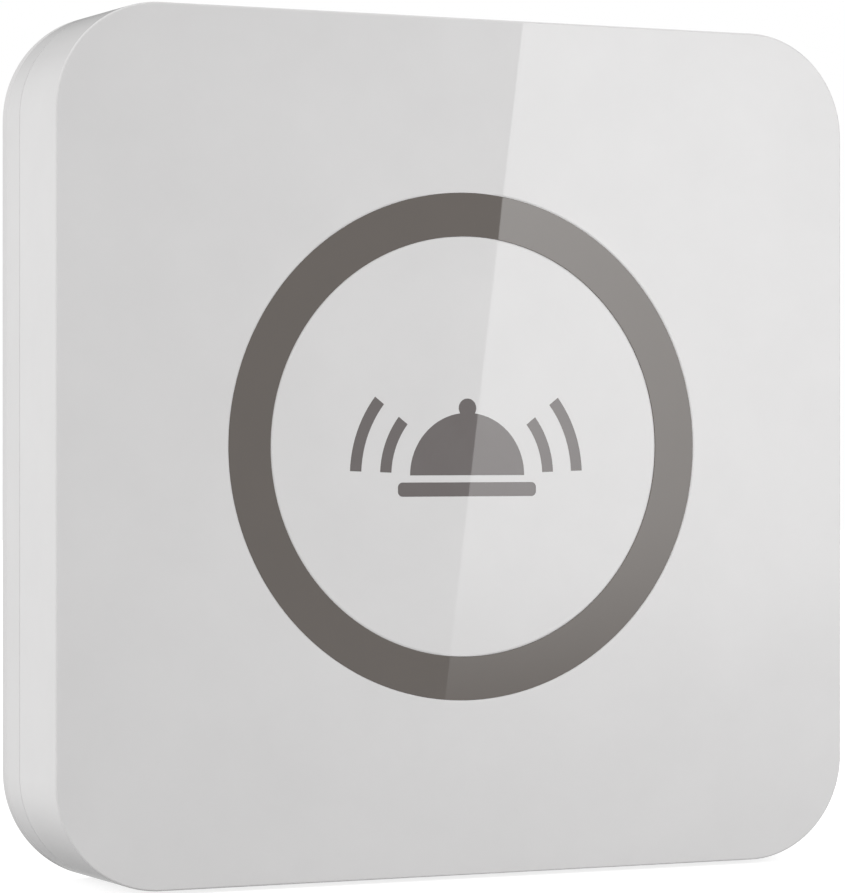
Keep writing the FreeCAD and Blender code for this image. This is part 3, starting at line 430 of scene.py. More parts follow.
# Grey ABS, polished in the same tool as the white round it, a little uneven in its pigment.
grey_abs_inlay = new_material("grey_abs_inlay")
place = add(grey_abs_inlay, "TexCoord", {}, {}).outputs["Object"]
clouds = add(grey_abs_inlay, "TexNoise", {}, {
    "Vector": place, "Scale": 1 / INK_CLOUD, "Detail": 3.0})
pigment = add(grey_abs_inlay, "Mix", {"data_type": "RGBA"}, {
    MIX_AMOUNT: clouds.outputs["Fac"], MIX_FIRST: linear("#605958"), MIX_SECOND: linear("#66605F")})
surface = add(grey_abs_inlay, "BsdfPrincipled", {}, {
    "Base Color": pigment.outputs[MIXED], "Roughness": 0.01, "IOR": 1.66})
add(grey_abs_inlay, "OutputMaterial", {}, {"Surface": surface.outputs["BSDF"]})
dress(grey_abs_inlay, "call_symbol")

# REAR TRAY
# The tray that closes the case: white ABS, moulded with a polished rim and a spark-eroded grain on
# its back. Its lip fits inside the shell, and its floor has screw wells, two wall holes, the seat of
# the battery lid and a bare label recess, with bosses and posts on the inside.

BACK_Y = cad_high.y
FLOOR_Y = BACK_Y - 2.0 * MM
PARTING_GROOVE = 0.06 * MM
PARTING_GROOVE_DEPTH = 0.03 * MM
PARTING_GAP = 0.02 * MM
REAR_ROUND = 0.25 * MM
REAR_ROUND_STEPS = 4
REAR_MARGIN = 1.0 * MM
LIP_GAP = 0.1 * MM
LIP_WALL = 1.3 * MM
LIP_TOP_Y = PARTING_Y - 2.6 * MM
SEAL_GROOVE = 0.6 * MM
HOLE_STEPS = 64
HOLE_CHAMFER = 0.15 * MM
SCREW_WELL = 2.65 * MM
SCREW_SEAT_Y = BACK_Y - 3.0 * MM
SCREW_HOLE = 1.5 * MM
WALL_HOLE = 2.1 * MM
WALL_HOLE_PLACE = 30 * MM
LID_UP = -18 * MM
LID_SEAT = 16.65 * MM
LID_SEAT_Y = BACK_Y - 1.0 * MM
LID_OPENING = 13.05 * MM
LID_STEPS = 144
LUGS = 3
LUG_SPACING = math.radians(360 / LUGS)
LUG_NOTCH = 14.85 * MM
LUG_NOTCH_HALF = math.radians(11.5)
POST_RADIUS = 2.4 * MM
POST_BORE = 1.0 * MM
POST_BORE_Y = BACK_Y - 2.5 * MM
POST_ACROSS = 22.5 * MM
POST_UP = 29.5 * MM
POST_STEPS = 32
LABEL_HALF_WIDTH = 22 * MM
LABEL_HALF_HEIGHT = 7 * MM
LABEL_UP = 24 * MM
LABEL_CORNER = 1.0 * MM
LABEL_CORNER_STEPS = 6
LABEL_DEPTH = 0.25 * MM
MARK_DEPTH = 0.15 * MM
MARK_RADIUS = 0.8 * MM
MARK_REACH = 18.6 * MM
MARK_STEPS = 32
LID_TURN = math.radians(60)

seal_front_y, seal_back_y = (corner.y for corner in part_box("housing_seal"))
post_top_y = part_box("circuit_board")[1].y


def smaller(outline, by):
    """A rounded square that lies inside another by the same distance all round."""
    return outline[0] - by, outline[1] - by


def bored(mesh, stations, across=0.0, up=0.0, steps=HOLE_STEPS):
    """A hole or post through loops of (radius, y). Its first and last loops stay open."""
    first = loop = round_loop(mesh, *stations[0], across, up, steps)
    for radius, y in stations[1:]:
        loop = extend(mesh, loop, to_circle(radius, y, across, up))
    return first, loop


def fill_flat(mesh, loops):
    """Fills the flat area between an outer loop and the holes in it."""
    edges = [edge for loop in loops for edge in loop]
    bmesh.ops.triangle_fill(mesh, use_beauty=True, use_dissolve=False, edges=edges,
                            normal=(0, 1, 0))


def close(mesh, loop):
    """Closes a loop with one flat face."""
    bmesh.ops.edgeloop_fill(mesh, edges=loop)


def sink(mesh, loop, depth):
    """A flat recess inside a loop, cut from the back."""
    floor = extend(mesh, loop, lambda point: point - Vector((0, depth, 0)))
    close(mesh, floor)


# White ABS with a spark-eroded back: a fine, even grain that scatters the light, while the rim is
# as polished as the shell it meets. The real grain is about 0.1 mm, and it is drawn twice as
# coarse so that it still shows from arm's length.
GRAIN_SIZE = 0.2 * MM
GRAIN_DEPTH = 0.012 * MM
GRAIN_STRENGTH = 0.6
GRAIN_FROM_Y = -2.2 * MM
GRAIN_FULL_Y = -1.2 * MM
RIM_ROUGHNESS = 0.01

textured_white_abs = new_material("textured_white_abs")
place = add(textured_white_abs, "TexCoord", {}, {}).outputs["Object"]
clouds = add(textured_white_abs, "TexNoise", {}, {
    "Vector": place, "Scale": 1 / CLOUD_SIZE, "Detail": 4.0, "Roughness": 0.6})
pigment = add(textured_white_abs, "Mix", {"data_type": "RGBA"}, {
    MIX_AMOUNT: clouds.outputs["Fac"], MIX_FIRST: linear("#D7D6D6"), MIX_SECOND: linear("#DFDEDE")})
grain = add(textured_white_abs, "TexNoise", {}, {
    "Vector": place, "Scale": 1 / GRAIN_SIZE, "Detail": 2.0, "Roughness": 0.6})
axes = add(textured_white_abs, "SeparateXYZ", {}, {"Vector": place})
eroded = add(textured_white_abs, "MapRange", {}, {
    "Value": axes.outputs["Y"], "From Min": GRAIN_FROM_Y, "From Max": GRAIN_FULL_Y,
    "To Max": GRAIN_STRENGTH})
pits = add(textured_white_abs, "Bump", {}, {
    "Height": grain.outputs["Fac"], "Strength": eroded.outputs["Result"], "Distance": GRAIN_DEPTH})
dullness = add(textured_white_abs, "MapRange", {}, {
    "Value": clouds.outputs["Fac"], "To Min": 0.64, "To Max": 0.8})
sheen = add(textured_white_abs, "Math", {"operation": "MULTIPLY_ADD"}, {
    0: eroded.outputs["Result"], 1: dullness.outputs["Result"], 2: RIM_ROUGHNESS})
surface = add(textured_white_abs, "BsdfPrincipled", {}, {
    "Base Color": pigment.outputs[MIXED], "Roughness": sheen.outputs[0],
    "Normal": pits.outputs["Normal"], "IOR": 1.5})
add(textured_white_abs, "OutputMaterial", {}, {"Surface": surface.outputs["BSDF"]})

back_outline = case_outline(BACK_Y)
band_front_y = PARTING_Y + PARTING_GROOVE
band_outline = case_outline(band_front_y)
groove_front_y = PARTING_Y + PARTING_GAP
flat_outline = smaller(back_outline, REAR_MARGIN)
lip_outline = smaller(cavity, LIP_GAP)
groove_outline = smaller(lip_outline, SEAL_GROOVE)
inside_outline = smaller(lip_outline, LIP_WALL)

tray = bmesh.new()
flat_rim = rounded_square(tray, flat_outline, BACK_Y)
back_rim = extend(tray, flat_rim, to_square(flat_outline, back_outline, BACK_Y))
loop, outline = back_rim, back_outline
for next_outline, y in [
    (band_outline, band_front_y), (smaller(band_outline, PARTING_GROOVE_DEPTH), band_front_y),
    (smaller(band_outline, PARTING_GROOVE_DEPTH), groove_front_y),
    (lip_outline, groove_front_y), (lip_outline, seal_back_y),
    (groove_outline, seal_back_y), (groove_outline, seal_front_y), (lip_outline, seal_front_y),
    (lip_outline, LIP_TOP_Y), (inside_outline, LIP_TOP_Y), (inside_outline, FLOOR_Y),
]:
    loop = extend(tray, loop, to_square(outline, next_outline, y))
    outline = next_outline
back_loops, floor_loops = [flat_rim], [loop]
for across, up in at_corners(SCREW_PLACE, SCREW_PLACE):
    well, foot = bored(tray, [
        (SCREW_WELL + HOLE_CHAMFER, BACK_Y), (SCREW_WELL, BACK_Y - HOLE_CHAMFER),
        (SCREW_WELL, SCREW_SEAT_Y), (SCREW_HOLE, SCREW_SEAT_Y), (SCREW_HOLE, BOSS_JOINT_Y),
        (BOSS_RADIUS, BOSS_JOINT_Y), (BOSS_RADIUS, FLOOR_Y)], across, up)
    back_loops.append(well)
    floor_loops.append(foot)
for across in (-WALL_HOLE_PLACE, WALL_HOLE_PLACE):
    outside, inside = bored(tray, [
        (WALL_HOLE + HOLE_CHAMFER, BACK_Y), (WALL_HOLE, BACK_Y - HOLE_CHAMFER),
        (WALL_HOLE, FLOOR_Y)], across)
    back_loops.append(outside)
    floor_loops.append(inside)
seat_edge, seat_floor = bored(tray, [
    (LID_SEAT + HOLE_CHAMFER, BACK_Y), (LID_SEAT, BACK_Y - HOLE_CHAMFER), (LID_SEAT, LID_SEAT_Y),
], up=LID_UP, steps=LID_STEPS)


def to_notched_opening(point):
    """For extend(): the opening of the lid, with a notch opposite each of the lid's lugs."""
    angle = math.atan2(point.x, LID_UP - point.z) % LUG_SPACING
    in_notch = min(angle, LUG_SPACING - angle) < LUG_NOTCH_HALF
    return to_circle(LUG_NOTCH if in_notch else LID_OPENING, point.y, up=LID_UP)(point)


opening = extend(tray, seat_floor, to_notched_opening)
opening_inside = extend(tray, opening, lambda point: Vector((point.x, FLOOR_Y, point.z)))
back_loops.append(seat_edge)
floor_loops.append(opening_inside)
for across, up in at_corners(POST_ACROSS, POST_UP):
    foot, bore = bored(tray, [
        (POST_RADIUS, FLOOR_Y), (POST_RADIUS, post_top_y), (POST_BORE, post_top_y),
        (POST_BORE, POST_BORE_Y)], across, up, POST_STEPS)
    close(tray, bore)
    floor_loops.append(foot)
label = rounded_loop(tray, LABEL_HALF_WIDTH, LABEL_HALF_HEIGHT, LABEL_CORNER, BACK_Y, LABEL_UP,
                     LABEL_CORNER_STEPS)
sink(tray, label, LABEL_DEPTH)
shut_mark = round_loop(tray, MARK_RADIUS, BACK_Y, 0, LID_UP + MARK_REACH, MARK_STEPS)
sink(tray, shut_mark, MARK_DEPTH)
open_across = math.sin(LID_TURN) * MARK_REACH
open_up = LID_UP + math.cos(LID_TURN) * MARK_REACH
open_mark = round_loop(tray, MARK_RADIUS, BACK_Y, open_across, open_up, MARK_STEPS)
open_core = round_loop(tray, MARK_RADIUS / 2, BACK_Y, open_across, open_up, MARK_STEPS)
groove_outer = extend(tray, open_mark, lambda point: point - Vector((0, MARK_DEPTH, 0)))
groove_inner = extend(tray, open_core, lambda point: point - Vector((0, MARK_DEPTH, 0)))
join(tray, groove_outer, groove_inner)
close(tray, open_core)
back_loops += [label, shut_mark, open_mark]
fill_flat(tray, back_loops)
fill_flat(tray, floor_loops)
round_edges(tray, back_rim, REAR_ROUND, REAR_ROUND_STEPS)
rear_tray = make_piece("rear_tray", tray, textured_white_abs)
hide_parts("back_cover")
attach(rear_tray, "housing")

# BATTERY LID
# A round lid in the tray's textured ABS. A coin in its slot turns it by a sixth of a turn, three
# bayonet lugs catch behind the floor, and a groove in its rim holds a flat silicone gasket.

LID_RADIUS = 16.5 * MM
LID_NECK = 12.9 * MM
LID_EDGE = 0.2 * MM
LUG_REACH = 14.7 * MM
LUG_ROOT = LUG_REACH / 2
LUG_WIDTH = 5.0 * MM
LUG_BACK_Y = BACK_Y - 2.05 * MM
LUG_FRONT_Y = BACK_Y - 2.8 * MM
GASKET_OUTER = 16.1 * MM
GASKET_INNER = 15.2 * MM
GASKET_DEPTH = 0.5 * MM
SLOT_HALF_LENGTH = 7.0 * MM
SLOT_HALF_WIDTH = 1.0 * MM
SLOT_CORNER = 0.9 * MM
SLOT_CORNER_STEPS = 8
SLOT_DEPTH = 1.4 * MM
ARROW_SIDES = 3
ARROW_RADIUS = 1.1 * MM
ARROW_REACH = 14.4 * MM

lid = bmesh.new()
rim, neck = bored(lid, [
    (LID_RADIUS - LID_EDGE, BACK_Y), (LID_RADIUS, BACK_Y - LID_EDGE), (LID_RADIUS, LID_SEAT_Y),
    (GASKET_OUTER, LID_SEAT_Y), (GASKET_OUTER, LID_SEAT_Y + GASKET_DEPTH),
    (GASKET_INNER, LID_SEAT_Y + GASKET_DEPTH), (GASKET_INNER, LID_SEAT_Y), (LID_NECK, LID_SEAT_Y),
    (LID_NECK, LUG_FRONT_Y)], up=LID_UP, steps=LID_STEPS)
close(lid, neck)
slot_edge = rounded_loop(lid, SLOT_HALF_LENGTH, SLOT_HALF_WIDTH, SLOT_CORNER, BACK_Y, LID_UP,
                         SLOT_CORNER_STEPS)
sink(lid, slot_edge, SLOT_DEPTH)
arrow = round_loop(lid, ARROW_RADIUS, BACK_Y, 0, LID_UP + ARROW_REACH, ARROW_SIDES)
sink(lid, arrow, MARK_DEPTH)
fill_flat(lid, [rim, slot_edge, arrow])
lug_middle = Vector((0, (LUG_BACK_Y + LUG_FRONT_Y) / 2, LID_UP + (LUG_REACH + LUG_ROOT) / 2))
lug_size = Matrix.Diagonal((LUG_WIDTH, LUG_BACK_Y - LUG_FRONT_Y, LUG_REACH - LUG_ROOT, 1))
lug = bmesh.ops.create_cube(lid, size=1, matrix=Matrix.Translation(lug_middle) @ lug_size)
lug_faces = once_each(face for vert in lug["verts"] for face in vert.link_faces)
bmesh.ops.spin(lid, geom=lug_faces, cent=(0, 0, LID_UP), axis=(0, 1, 0), dvec=(0, 0, 0),
               angle=LUG_SPACING * (LUGS - 1), steps=LUGS - 1, use_duplicate=True)
battery_door = make_piece("battery_door", lid, textured_white_abs)
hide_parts("battery_lid")
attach(battery_door, "battery_lid")

# SEALS
# Silicone seals: a flat ring in the lid's groove, and a thin cord in the groove of the tray's lip.
# Both are moulded as closed rings and pushed in by hand. Their shapes are the frame's own pieces.

BLOOM_SIZE = 4 * MM

# Grey silicone rubber: dull, with a faint dusty bloom in patches.
grey_silicone = new_material("grey_silicone")
place = add(grey_silicone, "TexCoord", {}, {}).outputs["Object"]
bloom = add(grey_silicone, "TexNoise", {}, {
    "Vector": place, "Scale": 1 / BLOOM_SIZE, "Detail": 4.0})
rubber = add(grey_silicone, "Mix", {"data_type": "RGBA"}, {
    MIX_AMOUNT: bloom.outputs["Fac"], MIX_FIRST: linear("#8A8B8A"), MIX_SECOND: linear("#989997")})
surface = add(grey_silicone, "BsdfPrincipled", {}, {
    "Base Color": rubber.outputs[MIXED], "Roughness": 0.62, "IOR": 1.41})
add(grey_silicone, "OutputMaterial", {}, {"Surface": surface.outputs["BSDF"]})
dress(grey_silicone, "lid_seal", "housing_seal")

# CASE SCREWS
# Four self-tapping steel screws with cheese heads and cross recesses, sunk in the tray's wells.
# They are cold-headed and thread-rolled, then zinc plated, and no two stop at the same turn.

HEAD_RADIUS = 2.5 * MM
HEAD_EDGE = 0.35 * MM
HEAD_TOP_Y = BACK_Y - 1.5 * MM
POINT_RADIUS = 0.3 * MM
POINT_LENGTH = 1.2 * MM
TIP_Y = -12.0 * MM
CROSS_HALF_REACH = 1.44 * MM
CROSS_HALF_WIDTH = 0.48 * MM
CROSS_DEPTH = 0.8 * MM
CROSS_TAPER = 0.6
SCREW_STEPS = 48
HEAD_TURNS = (12, 71, 38, 55)

# Zinc-plated steel: a bright metal with a slight haze, cloudy where the plating is thicker.
PLATING_CLOUD = 1.5 * MM

zinc_plated_steel = new_material("zinc_plated_steel")
place = add(zinc_plated_steel, "TexCoord", {}, {}).outputs["Object"]
clouds = add(zinc_plated_steel, "TexNoise", {}, {
    "Vector": place, "Scale": 1 / PLATING_CLOUD, "Detail": 4.0})
plating = add(zinc_plated_steel, "Mix", {"data_type": "RGBA"}, {
    MIX_AMOUNT: clouds.outputs["Fac"], MIX_FIRST: linear("#A9ABAE"), MIX_SECOND: linear("#C2C4C5")})
haze = add(zinc_plated_steel, "MapRange", {}, {
    "Value": clouds.outputs["Fac"], "To Min": 0.24, "To Max": 0.4})
surface = add(zinc_plated_steel, "BsdfPrincipled", {}, {
    "Base Color": plating.outputs[MIXED], "Metallic": 1.0, "Roughness": haze.outputs["Result"]})
add(zinc_plated_steel, "OutputMaterial", {}, {"Surface": surface.outputs["BSDF"]})

screws = bmesh.new()
for (across, up), turn in zip(at_corners(SCREW_PLACE, SCREW_PLACE), HEAD_TURNS):
    head, tip = bored(screws, [
        (HEAD_RADIUS - HEAD_EDGE, HEAD_TOP_Y), (HEAD_RADIUS, HEAD_TOP_Y - HEAD_EDGE),
        (HEAD_RADIUS, SCREW_SEAT_Y), (SCREW_SHANK, SCREW_SEAT_Y),
        (SCREW_SHANK, TIP_Y + POINT_LENGTH), (POINT_RADIUS, TIP_Y)], across, up, SCREW_STEPS)
    close(screws, tip)
    middle = Vector((across, HEAD_TOP_Y, up))
    spun = Matrix.Translation(middle) @ Matrix.Rotation(math.radians(turn), 4, "Y")
    arm = [(CROSS_HALF_WIDTH, CROSS_HALF_REACH), (CROSS_HALF_WIDTH, CROSS_HALF_WIDTH),
           (CROSS_HALF_REACH, CROSS_HALF_WIDTH)]
    corners = []
    for quarter in range(4):
        quarter_turn = Matrix.Rotation(quarter * math.pi / 2, 4, "Y")
        corners += [spun @ quarter_turn @ Vector((x, 0, z)) for x, z in arm]
    points = [screws.verts.new(corner) for corner in corners]
    cross = [screws.edges.new(pair) for pair in zip(points, points[1:] + points[:1])]
    floor = extend(screws, cross, lambda point: (
        middle + (point - middle) * CROSS_TAPER - Vector((0, CROSS_DEPTH, 0))))
    close(screws, floor)
    fill_flat(screws, [head, cross])
case_screws = make_piece("case_screws", screws, zinc_plated_steel)
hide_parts("cover_screws")
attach(case_screws, "housing")
dress(zinc_plated_steel, "board_screws")

# CIRCUIT BOARD
# A glass-fibre laminate board with green solder resist, screwed to the tray's four posts. Its parts
# are soldered to it: two chips in black epoxy, a crystal can, rows of ceramic chips, four lights
# under the ring, and a wire coil aerial along the top.

WEAVE_PITCH = 0.45 * MM
WEAVE_DEPTH = 0.01 * MM
WAVE_NODE_PERIOD = math.pi / 10
RESIST_CLOUD = 12 * MM

# Solder resist over woven glass: a semi-gloss green skin that shows the weave a little. A wave
# node of scale 1 repeats every WAVE_NODE_PERIOD metres.
solder_resist = new_material("solder_resist")
place = add(solder_resist, "TexCoord", {}, {}).outputs["Object"]
clouds = add(solder_resist, "TexNoise", {}, {
    "Vector": place, "Scale": 1 / RESIST_CLOUD, "Detail": 3.0})
resist = add(solder_resist, "Mix", {"data_type": "RGBA"}, {
    MIX_AMOUNT: clouds.outputs["Fac"], MIX_FIRST: linear("#1F5B3A"), MIX_SECOND: linear("#276B45")})
warp = add(solder_resist, "TexWave", {"bands_direction": "X"}, {
    "Vector": place, "Scale": WAVE_NODE_PERIOD / WEAVE_PITCH, "Distortion": 0.4})
weft = add(solder_resist, "TexWave", {"bands_direction": "Z"}, {
    "Vector": place, "Scale": WAVE_NODE_PERIOD / WEAVE_PITCH, "Distortion": 0.4})
weave = add(solder_resist, "Math", {"operation": "ADD"}, {
    0: warp.outputs["Fac"], 1: weft.outputs["Fac"]})
skin = add(solder_resist, "Bump", {}, {
    "Height": weave.outputs[0], "Strength": 0.4, "Distance": WEAVE_DEPTH})
surface = add(solder_resist, "BsdfPrincipled", {}, {
    "Base Color": resist.outputs[MIXED], "Roughness": 0.3, "IOR": 1.5,
    "Normal": skin.outputs["Normal"]})
add(solder_resist, "OutputMaterial", {}, {"Surface": surface.outputs["BSDF"]})
dress(solder_resist, "circuit_board")

# Black epoxy moulding compound: chip cases from a matt tool, dark grey with a fine grit, which is
# drawn about twice as coarse as real.
COMPOUND_GRIT = 0.12 * MM

epoxy_compound = new_material("epoxy_compound")
place = add(epoxy_compound, "TexCoord", {}, {}).outputs["Object"]
grit = add(epoxy_compound, "TexNoise", {}, {
    "Vector": place, "Scale": 1 / COMPOUND_GRIT, "Detail": 2.0})
compound = add(epoxy_compound, "Mix", {"data_type": "RGBA"}, {
    MIX_AMOUNT: grit.outputs["Fac"], MIX_FIRST: linear("#232324"), MIX_SECOND: linear("#2E2E2F")})
surface = add(epoxy_compound, "BsdfPrincipled", {}, {
    "Base Color": compound.outputs[MIXED], "Roughness": 0.55, "IOR": 1.5})
add(epoxy_compound, "OutputMaterial", {}, {"Surface": surface.outputs["BSDF"]})
dress(epoxy_compound, "microcontroller", "radio_chip", "chip_resistors")

# Fired ceramic: the tan body of a chip capacitor, matt and slightly mottled.
CERAMIC_MOTTLE = 0.4 * MM

tan_ceramic = new_material("tan_ceramic")
place = add(tan_ceramic, "TexCoord", {}, {}).outputs["Object"]
mottle = add(tan_ceramic, "TexNoise", {}, {
    "Vector": place, "Scale": 1 / CERAMIC_MOTTLE, "Detail": 3.0})
body = add(tan_ceramic, "Mix", {"data_type": "RGBA"}, {
    MIX_AMOUNT: mottle.outputs["Fac"], MIX_FIRST: linear("#A88762"), MIX_SECOND: linear("#B8976F")})
surface = add(tan_ceramic, "BsdfPrincipled", {}, {
    "Base Color": body.outputs[MIXED], "Roughness": 0.45, "IOR": 1.6})
add(tan_ceramic, "OutputMaterial", {}, {"Surface": surface.outputs["BSDF"]})
dress(tan_ceramic, "chip_capacitors")

# Clear silicone over a yellow phosphor: the flat windows of white lights, unlit, so they look
# pale yellow and wet.
PHOSPHOR_CLOUD = 0.8 * MM

phosphor_silicone = new_material("phosphor_silicone")
place = add(phosphor_silicone, "TexCoord", {}, {}).outputs["Object"]
clouds = add(phosphor_silicone, "TexNoise", {}, {
    "Vector": place, "Scale": 1 / PHOSPHOR_CLOUD, "Detail": 2.0})
phosphor = add(phosphor_silicone, "Mix", {"data_type": "RGBA"}, {
    MIX_AMOUNT: clouds.outputs["Fac"], MIX_FIRST: linear("#DCCB74"), MIX_SECOND: linear("#E9DFA6")})
surface = add(phosphor_silicone, "BsdfPrincipled", {}, {
    "Base Color": phosphor.outputs[MIXED], "Roughness": 0.12, "IOR": 1.41})
add(phosphor_silicone, "OutputMaterial", {}, {"Surface": surface.outputs["BSDF"]})
dress(phosphor_silicone, "indicator_leds")

# Tinned copper: soldered wire and leads, a warm grey metal with the soft ripple of dipped tin.
TIN_RIPPLE = 0.6 * MM

tinned_copper = new_material("tinned_copper")
place = add(tinned_copper, "TexCoord", {}, {}).outputs["Object"]
ripple = add(tinned_copper, "TexNoise", {}, {
    "Vector": place, "Scale": 1 / TIN_RIPPLE, "Detail": 3.0})
tin = add(tinned_copper, "Mix", {"data_type": "RGBA"}, {
    MIX_AMOUNT: ripple.outputs["Fac"], MIX_FIRST: linear("#B4AFA6"), MIX_SECOND: linear("#C9C4BB")})
gloss = add(tinned_copper, "MapRange", {}, {
    "Value": ripple.outputs["Fac"], "To Min": 0.22, "To Max": 0.36})
surface = add(tinned_copper, "BsdfPrincipled", {}, {
    "Base Color": tin.outputs[MIXED], "Metallic": 1.0, "Roughness": gloss.outputs["Result"]})
add(tinned_copper, "OutputMaterial", {}, {"Surface": surface.outputs["BSDF"]})
dress(tinned_copper, "switch_leads", "antenna")

# SWITCH AND SPRINGS
# A tact switch under the cap's stem has a black nylon base and plunger and a pressed metal cover.
# Four music-wire springs on a moulded carrier lift the cap.

# Glass-filled black nylon: satin, with pale flecks of fibre at the skin.
FIBRE_FLECK = 0.3 * MM

black_nylon = new_material("black_nylon")
place = add(black_nylon, "TexCoord", {}, {}).outputs["Object"]
flecks = add(black_nylon, "TexNoise", {}, {
    "Vector": place, "Scale": 1 / FIBRE_FLECK, "Detail": 4.0, "Roughness": 0.7})
resin = add(black_nylon, "Mix", {"data_type": "RGBA"}, {
    MIX_AMOUNT: flecks.outputs["Fac"], MIX_FIRST: linear("#1C1C1D"), MIX_SECOND: linear("#2B2B2C")})
surface = add(black_nylon, "BsdfPrincipled", {}, {
    "Base Color": resin.outputs[MIXED], "Roughness": 0.42, "IOR": 1.53})
add(black_nylon, "OutputMaterial", {}, {"Surface": surface.outputs["BSDF"]})
dress(black_nylon, "switch_base", "switch_plunger", "battery_holder")

# Nickel plate on pressed steel: a bright, slightly yellow metal with fine rolling lines, which are
# drawn a few times as wide as real so that they show.
ROLLING_LINE = 0.15 * MM
ROLLING_STRETCH = 0.05

nickel_plate = new_material("nickel_plate")
place = add(nickel_plate, "TexCoord", {}, {}).outputs["Object"]
stretched = add(nickel_plate, "Mapping", {}, {
    "Vector": place, "Scale": (ROLLING_STRETCH, 1.0, 1.0)})
lines = add(nickel_plate, "TexNoise", {}, {
    "Vector": stretched.outputs["Vector"], "Scale": 1 / ROLLING_LINE, "Detail": 2.0})
nickel = add(nickel_plate, "Mix", {"data_type": "RGBA"}, {
    MIX_AMOUNT: lines.outputs["Fac"], MIX_FIRST: linear("#BDB9AF"), MIX_SECOND: linear("#CFCBC0")})
brightness = add(nickel_plate, "MapRange", {}, {
    "Value": lines.outputs["Fac"], "To Min": 0.2, "To Max": 0.32})
surface = add(nickel_plate, "BsdfPrincipled", {}, {
    "Base Color": nickel.outputs[MIXED], "Metallic": 1.0,
    "Roughness": brightness.outputs["Result"]})
add(nickel_plate, "OutputMaterial", {}, {"Surface": surface.outputs["BSDF"]})
dress(nickel_plate, "switch_cover", "crystal", "coin_cell", "negative_contact", "positive_contact")

# Music wire: hard-drawn steel, a dark grey metal that is brighter in patches.
WIRE_CLOUD = 0.5 * MM

music_wire = new_material("music_wire")
place = add(music_wire, "TexCoord", {}, {}).outputs["Object"]
clouds = add(music_wire, "TexNoise", {}, {
    "Vector": place, "Scale": 1 / WIRE_CLOUD, "Detail": 3.0})
steel = add(music_wire, "Mix", {"data_type": "RGBA"}, {
    MIX_AMOUNT: clouds.outputs["Fac"], MIX_FIRST: linear("#85868A"), MIX_SECOND: linear("#9C9DA0")})
surface = add(music_wire, "BsdfPrincipled", {}, {
    "Base Color": steel.outputs[MIXED], "Metallic": 1.0, "Roughness": 0.26})
add(music_wire, "OutputMaterial", {}, {"Surface": surface.outputs["BSDF"]})

coils = bmesh.new()
coils.from_mesh(nodes["return_springs"].data)
coil_springs = make_piece("coil_springs", coils, music_wire)
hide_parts("return_springs")
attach(coil_springs, "housing")
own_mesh(coil_springs)

# Unpigmented ABS: the cream of the raw resin, from a plain machined tool.
RESIN_CLOUD = 6 * MM

natural_abs = new_material("natural_abs")
place = add(natural_abs, "TexCoord", {}, {}).outputs["Object"]
clouds = add(natural_abs, "TexNoise", {}, {
    "Vector": place, "Scale": 1 / RESIN_CLOUD, "Detail": 3.0})
cream = add(natural_abs, "Mix", {"data_type": "RGBA"}, {
    MIX_AMOUNT: clouds.outputs["Fac"], MIX_FIRST: linear("#D9D1BC"), MIX_SECOND: linear("#E2DBC8")})
surface = add(natural_abs, "BsdfPrincipled", {}, {
    "Base Color": cream.outputs[MIXED], "Roughness": 0.35, "IOR": 1.5})
add(natural_abs, "OutputMaterial", {}, {"Surface": surface.outputs["BSDF"]})
dress(natural_abs, "spring_carrier")

# STUDIO
# The object stands on a white table in a bright white room, lit by a broad lamp from the left and
# a small one in front. Cards and flags round it are seen only as reflections in polished faces.

TABLE_SIZE = 2.4
TABLE_EDGE_Y = 1.2


def seen_directly(owner):
    """1 on rays that come from the camera, a reflection or something clear, and 0 on the rest."""
    path = add(owner, "LightPath", {}, {})
    seen = add(owner, "Math", {"operation": "MAXIMUM"}, {
        0: path.outputs["Is Camera Ray"], 1: path.outputs["Is Glossy Ray"]})
    return add(owner, "Math", {"operation": "MAXIMUM"}, {
        0: seen.outputs[0], 1: path.outputs["Is Transmission Ray"]}).outputs[0]


# Matt white laminate. To the camera and in reflections it is as white as the room behind it, and
# only the object's shadow shows on it.
TABLE_SHINE = 0.8
TABLE_CLOUD = 125 * MM

white_laminate = new_material("white_laminate")
level = add(white_laminate, "Math", {"operation": "MULTIPLY"}, {
    0: seen_directly(white_laminate), 1: TABLE_SHINE})
place = add(white_laminate, "TexCoord", {}, {}).outputs["Object"]
clouds = add(white_laminate, "TexNoise", {}, {
    "Vector": place, "Scale": 1 / TABLE_CLOUD, "Detail": 3.0})
top = add(white_laminate, "Mix", {"data_type": "RGBA"}, {
    MIX_AMOUNT: clouds.outputs["Fac"], MIX_FIRST: linear("#AFAFAF"), MIX_SECOND: linear("#B6B6B6")})
surface = add(white_laminate, "BsdfDiffuse", {}, {"Color": top.outputs[MIXED]})
glow = add(white_laminate, "Emission", {}, {
    "Color": linear("#FFFFFF"), "Strength": level.outputs[0]})
both = add(white_laminate, "AddShader", {}, {0: surface.outputs[0], 1: glow.outputs[0]})
add(white_laminate, "OutputMaterial", {}, {"Surface": both.outputs[0]})

table = bmesh.new()
bmesh.ops.create_grid(table, x_segments=1, y_segments=1, size=TABLE_SIZE / 2,
                      matrix=Matrix.Translation((0, TABLE_EDGE_Y - TABLE_SIZE / 2, cad_low.z)))
table_top = make_piece("table_top", table, white_laminate)
table_top.visible_glossy = False

# The room looks pure white, and lights the object at a little less than that.
ROOM_LIGHT = 0.778

room = bpy.data.worlds.new("white_room")
room.use_nodes = True
room.node_tree.nodes.clear()
level = add(room, "MapRange", {}, {
    "Value": seen_directly(room), "To Min": ROOM_LIGHT, "To Max": 1.0})
walls = add(room, "Background", {}, {
    "Color": linear("#FFFFFF"), "Strength": level.outputs["Result"]})
add(room, "OutputWorld", {}, {"Surface": walls.outputs["Background"]})
bpy.context.scene.world = room

